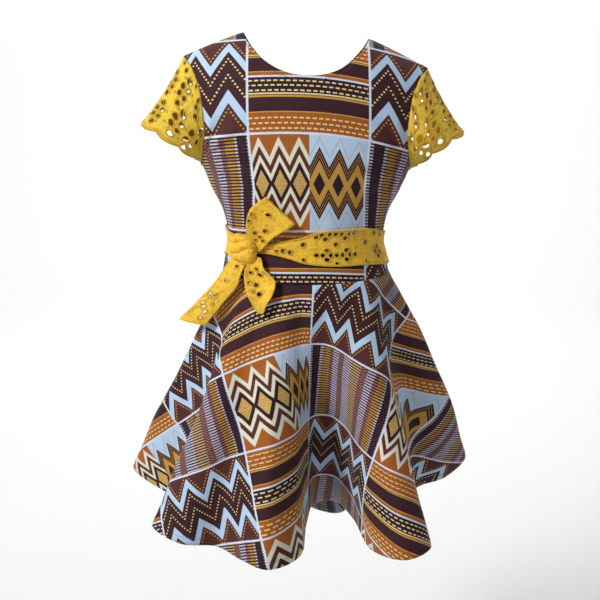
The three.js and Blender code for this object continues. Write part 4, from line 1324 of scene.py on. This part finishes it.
def cord(surface, path, half_width, half_height, flip, closed):
    """Points, faces and cloth coordinates of a flattened tube that follows a path of the surface's
    parameters and stands on the outer face: the half width times the cosine, sideways, and the half
    height times the sine, along the cloth's normal."""
    ring = CORD_SIDES
    p = surface(path[:, 0], path[:, 1])
    normal = normal_of(surface, path[:, 0], path[:, 1], p) * (-1 if flip else 1)
    tangent = np.roll(p, -1, 0) - np.roll(p, 1, 0) if closed else np.gradient(p, axis=0)
    outward = unit(np.cross(tangent, normal))
    phi = np.linspace(0, 2 * np.pi, ring, endpoint=False)[None, :, None]
    wide = np.broadcast_to(half_width, len(path))[:, None, None]
    tube = (
        p[:, None]
        + wide * np.cos(phi) * outward[:, None]
        + half_height * (0.25 + np.sin(phi)) * normal[:, None]
    )
    count = len(path)
    i, j = np.meshgrid(np.arange(count if closed else count - 1), np.arange(ring), indexing="ij")
    i2, j2 = (i + 1) % count, (j + 1) % ring
    quads = np.stack([i * ring + j, i * ring + j2, i2 * ring + j2, i2 * ring + j], -1).reshape(-1, 4)
    uv = np.stack([np.repeat(length_along(p), ring), np.tile(np.arange(ring) * 0.6, count)], 1)
    return tube.reshape(-1, 3), quads, uv


def thread_work(name, surface, holes, places, flip, hem):
    """The embroidery on a lace piece: a satin rim round each eyelet, stems and leaves in each spray,
    and a satin cord along a scalloped hem."""
    parts = [cord(surface, oval(hole, RIM_CLOSE, 14), RIM_HALF, RIM_HIGH, flip, True) for hole in holes]
    leaf_way = np.linspace(0.0, 1.0, 7)
    for motif, u, v, mirror in places:
        if motif is not SPRAY:
            continue
        du, dv = motif_holes(surface, [([(0, 0, 1, 1)], u, v, mirror)], OPEN)[0, 2:4]
        for x, y, across, along in SPRAY_LEAVES:
            turned = along > across
            reach = (leaf_way * 2 - 1) * max(across, along)
            lie = np.stack([x + (0 if turned else 1) * reach, y + (1 if turned else 0) * reach], 1)
            path = np.stack([u + lie[:, 0] * mirror * du, v + lie[:, 1] * dv], 1)
            half = 0.12 + min(across, along) * np.sin(np.pi * leaf_way)
            if (path > EDGE_CLEAR).all() and (path < 1 - EDGE_CLEAR).all():
                parts.append(cord(surface, path, half, LEAF_HIGH, flip, False))
        stem = catmull(np.array([(x, y, 0.0) for x, y in STEM]), False, 4)[:, :2]
        path = np.stack([u + stem[:, 0] * mirror * du, v + stem[:, 1] * dv], 1)
        path = path[((path > EDGE_CLEAR) & (path < 1 - EDGE_CLEAR)).all(1)]
        if len(path) > 3:
            parts.append(cord(surface, path, STEM_HALF, STEM_HIGH, flip, False))
    for level, width in hem:
        along = np.linspace(0.0, 1.0, 90)
        path = np.stack([along, np.full_like(along, level)], 1)
        parts.append(cord(surface, path, width, EDGE_CORD_HIGH, flip, False))
    points, faces, uvs, start = [], [], [], 0
    for tube, quads, uv in parts:
        points.append(tube)
        faces.append(quads + start)
        uvs.append(uv)
        start += len(tube)
    return soft_mesh(name, np.vstack(points), np.vstack(faces).tolist(), np.vstack(uvs))


def lace_piece(node, surface, places, grid, aspect, flip, flat, hem=(),
               lace=lace_face, opening=OPEN):
    """A sheet of lace with its eyelets open and its thread work on it, in its CAD node's place."""
    holes = motif_holes(surface, places, opening)
    size = (flat[0] / MM, flat[1] / MM)
    sheet = lace_sheet(node + "_lace", surface, holes, grid[0], grid[1], aspect, flip, size)
    work = thread_work(node + "_thread", surface, holes, places, flip, hem)
    work.data.materials.append(thread)
    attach(work, "root")
    dress_with(sheet, node, [lace, lace_back_painted_shade])


CUFF_CORDS = ((0.975, 1.1), (0.93, 0.5))  # the place down the sleeve, and the half width
SASH_CORDS = ((0.03, 0.7), (0.97, 0.7))

for side_name, side in (("left", 1), ("right", -1)):
    for face_name, face in (("front", -1), ("back", 1)):
        turned = side * face > 0

        def half_sleeve(u, v, side=side, face=face, turned=turned):
            """Half a sleeve. The share of the way round is a power of u, which crowds the grid toward
            the shoulder, where the armhole's curve is tightest."""
            share = np.maximum(u if turned else 1 - u, 0) ** SCALLOP_SPREAD
            return sleeve(side, face, np.clip(share, 0.002, 0.998), v)

        places = []
        for motif, around, down, half in SLEEVE_MOTIFS:
            if half in (0, face):
                share = around ** (1 / SCALLOP_SPREAD)
                places.append((motif, share if turned else 1 - share, down, 1 if turned else -1))
        lace_piece(
            f"sleeve_{side_name}_{face_name}", half_sleeve, places, (84, 26), 2.0, True, SLEEVE_FLAT,
            hem=CUFF_CORDS, lace=sleeve_lace_painted_daylight, opening=OPEN if face < 0 else OPEN_BEHIND,
        )

for node, turn_from, turn_to, cols, length, rests_on in (
    ("sash_front", -38.0, 90.0, 90, 0.2, ["bodice_front_cloth"]),
    ("sash_back", 90.0, 310.0, 120, 0.34, ["bodice_back_left_cloth", "bodice_back_right_cloth"]),
):
    def band(u, v, turn_from=turn_from, turn_to=turn_to):
        """The sash moved outward by long soft creases: the sine of the way up, bent by the turn and cut
        off below, times a bell on each side of the knot."""
        turn = lerp(turn_from, turn_to, u)
        up = 2 * v - 1
        points = sash(turn, up)
        pulled = bell(turn + 44, SASH_PULL) + 0.6 * bell(turn - 316, SASH_PULL) + 0.22
        crease = np.maximum(np.sin(up * 7.0 + turn * 0.035 + np.sin(turn * 0.06)), -0.2)
        held = smooth((1 - np.abs(up)) * 5)
        out = unit(points * np.array([1.0, 1.0, 0.0]))
        return points + out * (SASH_CREASE * crease * held * pulled)[..., None]

    places = [
        (m, (t - turn_from) / (turn_to - turn_from), (up / column(SASH, 2, np.array(float(t))) + 1) / 2, 1)
        for m, t, up in SASH_MOTIFS if turn_from < t < turn_to
    ]
    lace_piece(node, band, places, (cols, 18), 5.0, False, (length, 0.044),
               hem=SASH_CORDS)

for node, rows, motifs, count, size, fill, flip in (
    ("bow_loop", BOW_LOOP, LOOP_MOTIFS, 90, (0.04, 0.15), 0.76, False),
    ("bow_long_tail", LONG_TAIL, LONG_TAIL_MOTIFS, 48, (0.04, 0.12), 0.69, True),
    ("bow_short_tail", SHORT_TAIL, SHORT_TAIL_MOTIFS, 38, (0.035, 0.072), 0.75, True),
):
    places = [(motif, across, along, 1) for motif, across, along in motifs]
    lace_piece(node, ribbon(rows), places, (16, count), 0.35, flip, size)

# ---- Knot ----

def knot():
    """A plump wrap: a sphere's sines and cosines, each squared off by a power, times its three half
    sizes. Ridges run across it into the sash: the absolute sine of a fan of its own coordinates. The
    depth sinks between them on the outer side, and the whole is leaned over."""
    angle = math.radians(KNOT["turn"])
    out = unit(np.array([math.sin(angle) / 97, -math.cos(angle) / 74, 0.0]))
    seat = sash(np.array([KNOT["turn"]]), np.array([0.0]))[0]
    centre = seat + out * (KNOT["deep"] + KNOT_CLEAR - LACE)
    across = -np.cross([0, 0, 1], out)
    around, rows = 150, 80
    lon = np.linspace(0, 2 * np.pi, around, endpoint=False)
    lat = np.linspace(0, np.pi, rows + 1)[1:-1]
    lon, lat = np.meshgrid(lon, lat)
    x, y, z = np.sin(lat) * np.cos(lon), np.cos(lat), np.sin(lat) * np.sin(lon)
    fan = z * 0.85 + x * 0.5 + 0.35 * x * z + 0.1 * np.sin(4.0 * x)
    ridges = np.abs(np.sin(KNOT_RIDGES * fan + 0.7)) ** 0.5
    crease = 1 - KNOT_CREASE * smooth(y * 1.4 + 0.7) * (1 - ridges)

    def squarer(value):
        """The value's size to a power, with its sign kept."""
        return np.sign(value) * np.abs(value) ** KNOT_SQUARE

    plump = 0.9 + 0.1 * ridges
    wide = squarer(x) * KNOT["wide"] * plump
    deep = squarer(y) * KNOT["deep"] * crease
    tall = squarer(z) * KNOT["tall"] * plump
    lean = math.radians(KNOT["lean"])
    sideways = wide * math.cos(lean) + tall * math.sin(lean)
    upward = -wide * math.sin(lean) + tall * math.cos(lean)
    frame_of_knot = np.stack([across, out, [0, 0, 1.0]])
    grid = centre + np.stack([sideways, deep, upward], -1) @ frame_of_knot
    front_pole = centre + out * ((grid[0].mean(0) - centre) @ out)
    poles = np.stack([front_pole, centre - out * KNOT["deep"]])
    ring = np.arange(grid.shape[0] * around).reshape(-1, around)
    after = np.roll(ring, -1, 1)
    caps = [(ring.size, int(b), int(a)) for a, b in zip(ring[0], after[0])]
    caps += [(ring.size + 1, int(a), int(b)) for a, b in zip(ring[-1], after[-1])]
    points = np.vstack([grid.reshape(-1, 3), poles])
    flat = np.stack([(points - centre) @ across, points[:, 2] - centre[2]], 1)
    piece = soft_mesh("sash_knot_lace", points, ring_quads(ring).tolist() + caps, flat)
    bm = bmesh.new()
    bm.from_mesh(piece.data)
    bmesh.ops.recalc_face_normals(bm, faces=bm.faces)
    bm.to_mesh(piece.data)
    bm.free()
    piece.data.materials.append(lace_face)
    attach(piece, "root")
    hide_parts("sash_knot")


knot()

# ---- Floor and light ----

FLOOR_Z = -1.35
FLOOR_RADIUS = 3.6  # where the paper begins to turn up
SWEEP_RADIUS = 1.6
SWEEP_TOP = 4.2


def floor_sheet():
    """A round stage of paper: flat, then a quarter circle, then straight up, turned about the z axis."""
    turn = np.linspace(0.0, np.pi / 2, 13)
    r = np.concatenate([[1e-3], FLOOR_RADIUS + SWEEP_RADIUS * np.sin(turn), [FLOOR_RADIUS + SWEEP_RADIUS]])
    z = np.concatenate([[FLOOR_Z], FLOOR_Z + SWEEP_RADIUS * (1 - np.cos(turn)), [SWEEP_TOP]])
    around = np.linspace(0.0, 2 * np.pi, 96, endpoint=False)
    points = np.stack([
        r[:, None] * np.cos(around), r[:, None] * np.sin(around), np.broadcast_to(z[:, None], (len(z), 96))
    ], -1)
    quads = ring_quads(np.arange(points[..., 0].size).reshape(points.shape[:2]))
    mesh = bpy.data.meshes.new("floor")
    mesh.from_pydata(points.reshape(-1, 3).tolist(), [], quads[:, ::-1].tolist())
    mesh.polygons.foreach_set("use_smooth", np.ones(len(mesh.polygons), bool))
    return mesh


floor = bpy.data.objects.new("floor", floor_sheet())
bpy.context.scene.collection.objects.link(floor)
floor.data.materials.append(plain("floor_paper", (0.74, 0.74, 0.74, 1), 0.9))

world = bpy.data.worlds.new("studio")
bpy.context.scene.world = world
world.use_nodes = True
background = world.node_tree.nodes["Background"].inputs
background["Color"].default_value = (1.0, 1.0, 1.0, 1)
background["Strength"].default_value = 0.22
bpy.context.scene.view_settings.view_transform = "Standard"


def soft_light(name, place, target, size, power):
    """A square light that faces its target; metres and watts."""
    data = bpy.data.lights.new(name, "AREA")
    data.shape = "SQUARE"
    data.size = size
    data.energy = power
    light = bpy.data.objects.new(name, data)
    bpy.context.scene.collection.objects.link(light)
    light.location = place
    light.rotation_euler = (Vector(target) - Vector(place)).to_track_quat("-Z", "Y").to_euler()


for light in (  # name, place, target, size, power
    ("key", (-1.85, -1.5, 1.45), (0, 0, -0.35), 0.6, 68),
    ("back", (0.6, 1.8, 1.6), (0, 0, -0.3), 1.2, 5),
    ("backdrop", (0.0, 1.8, 3.0), (0, 5.2, 0.4), 3.0, 215),
):
    soft_light(*light)
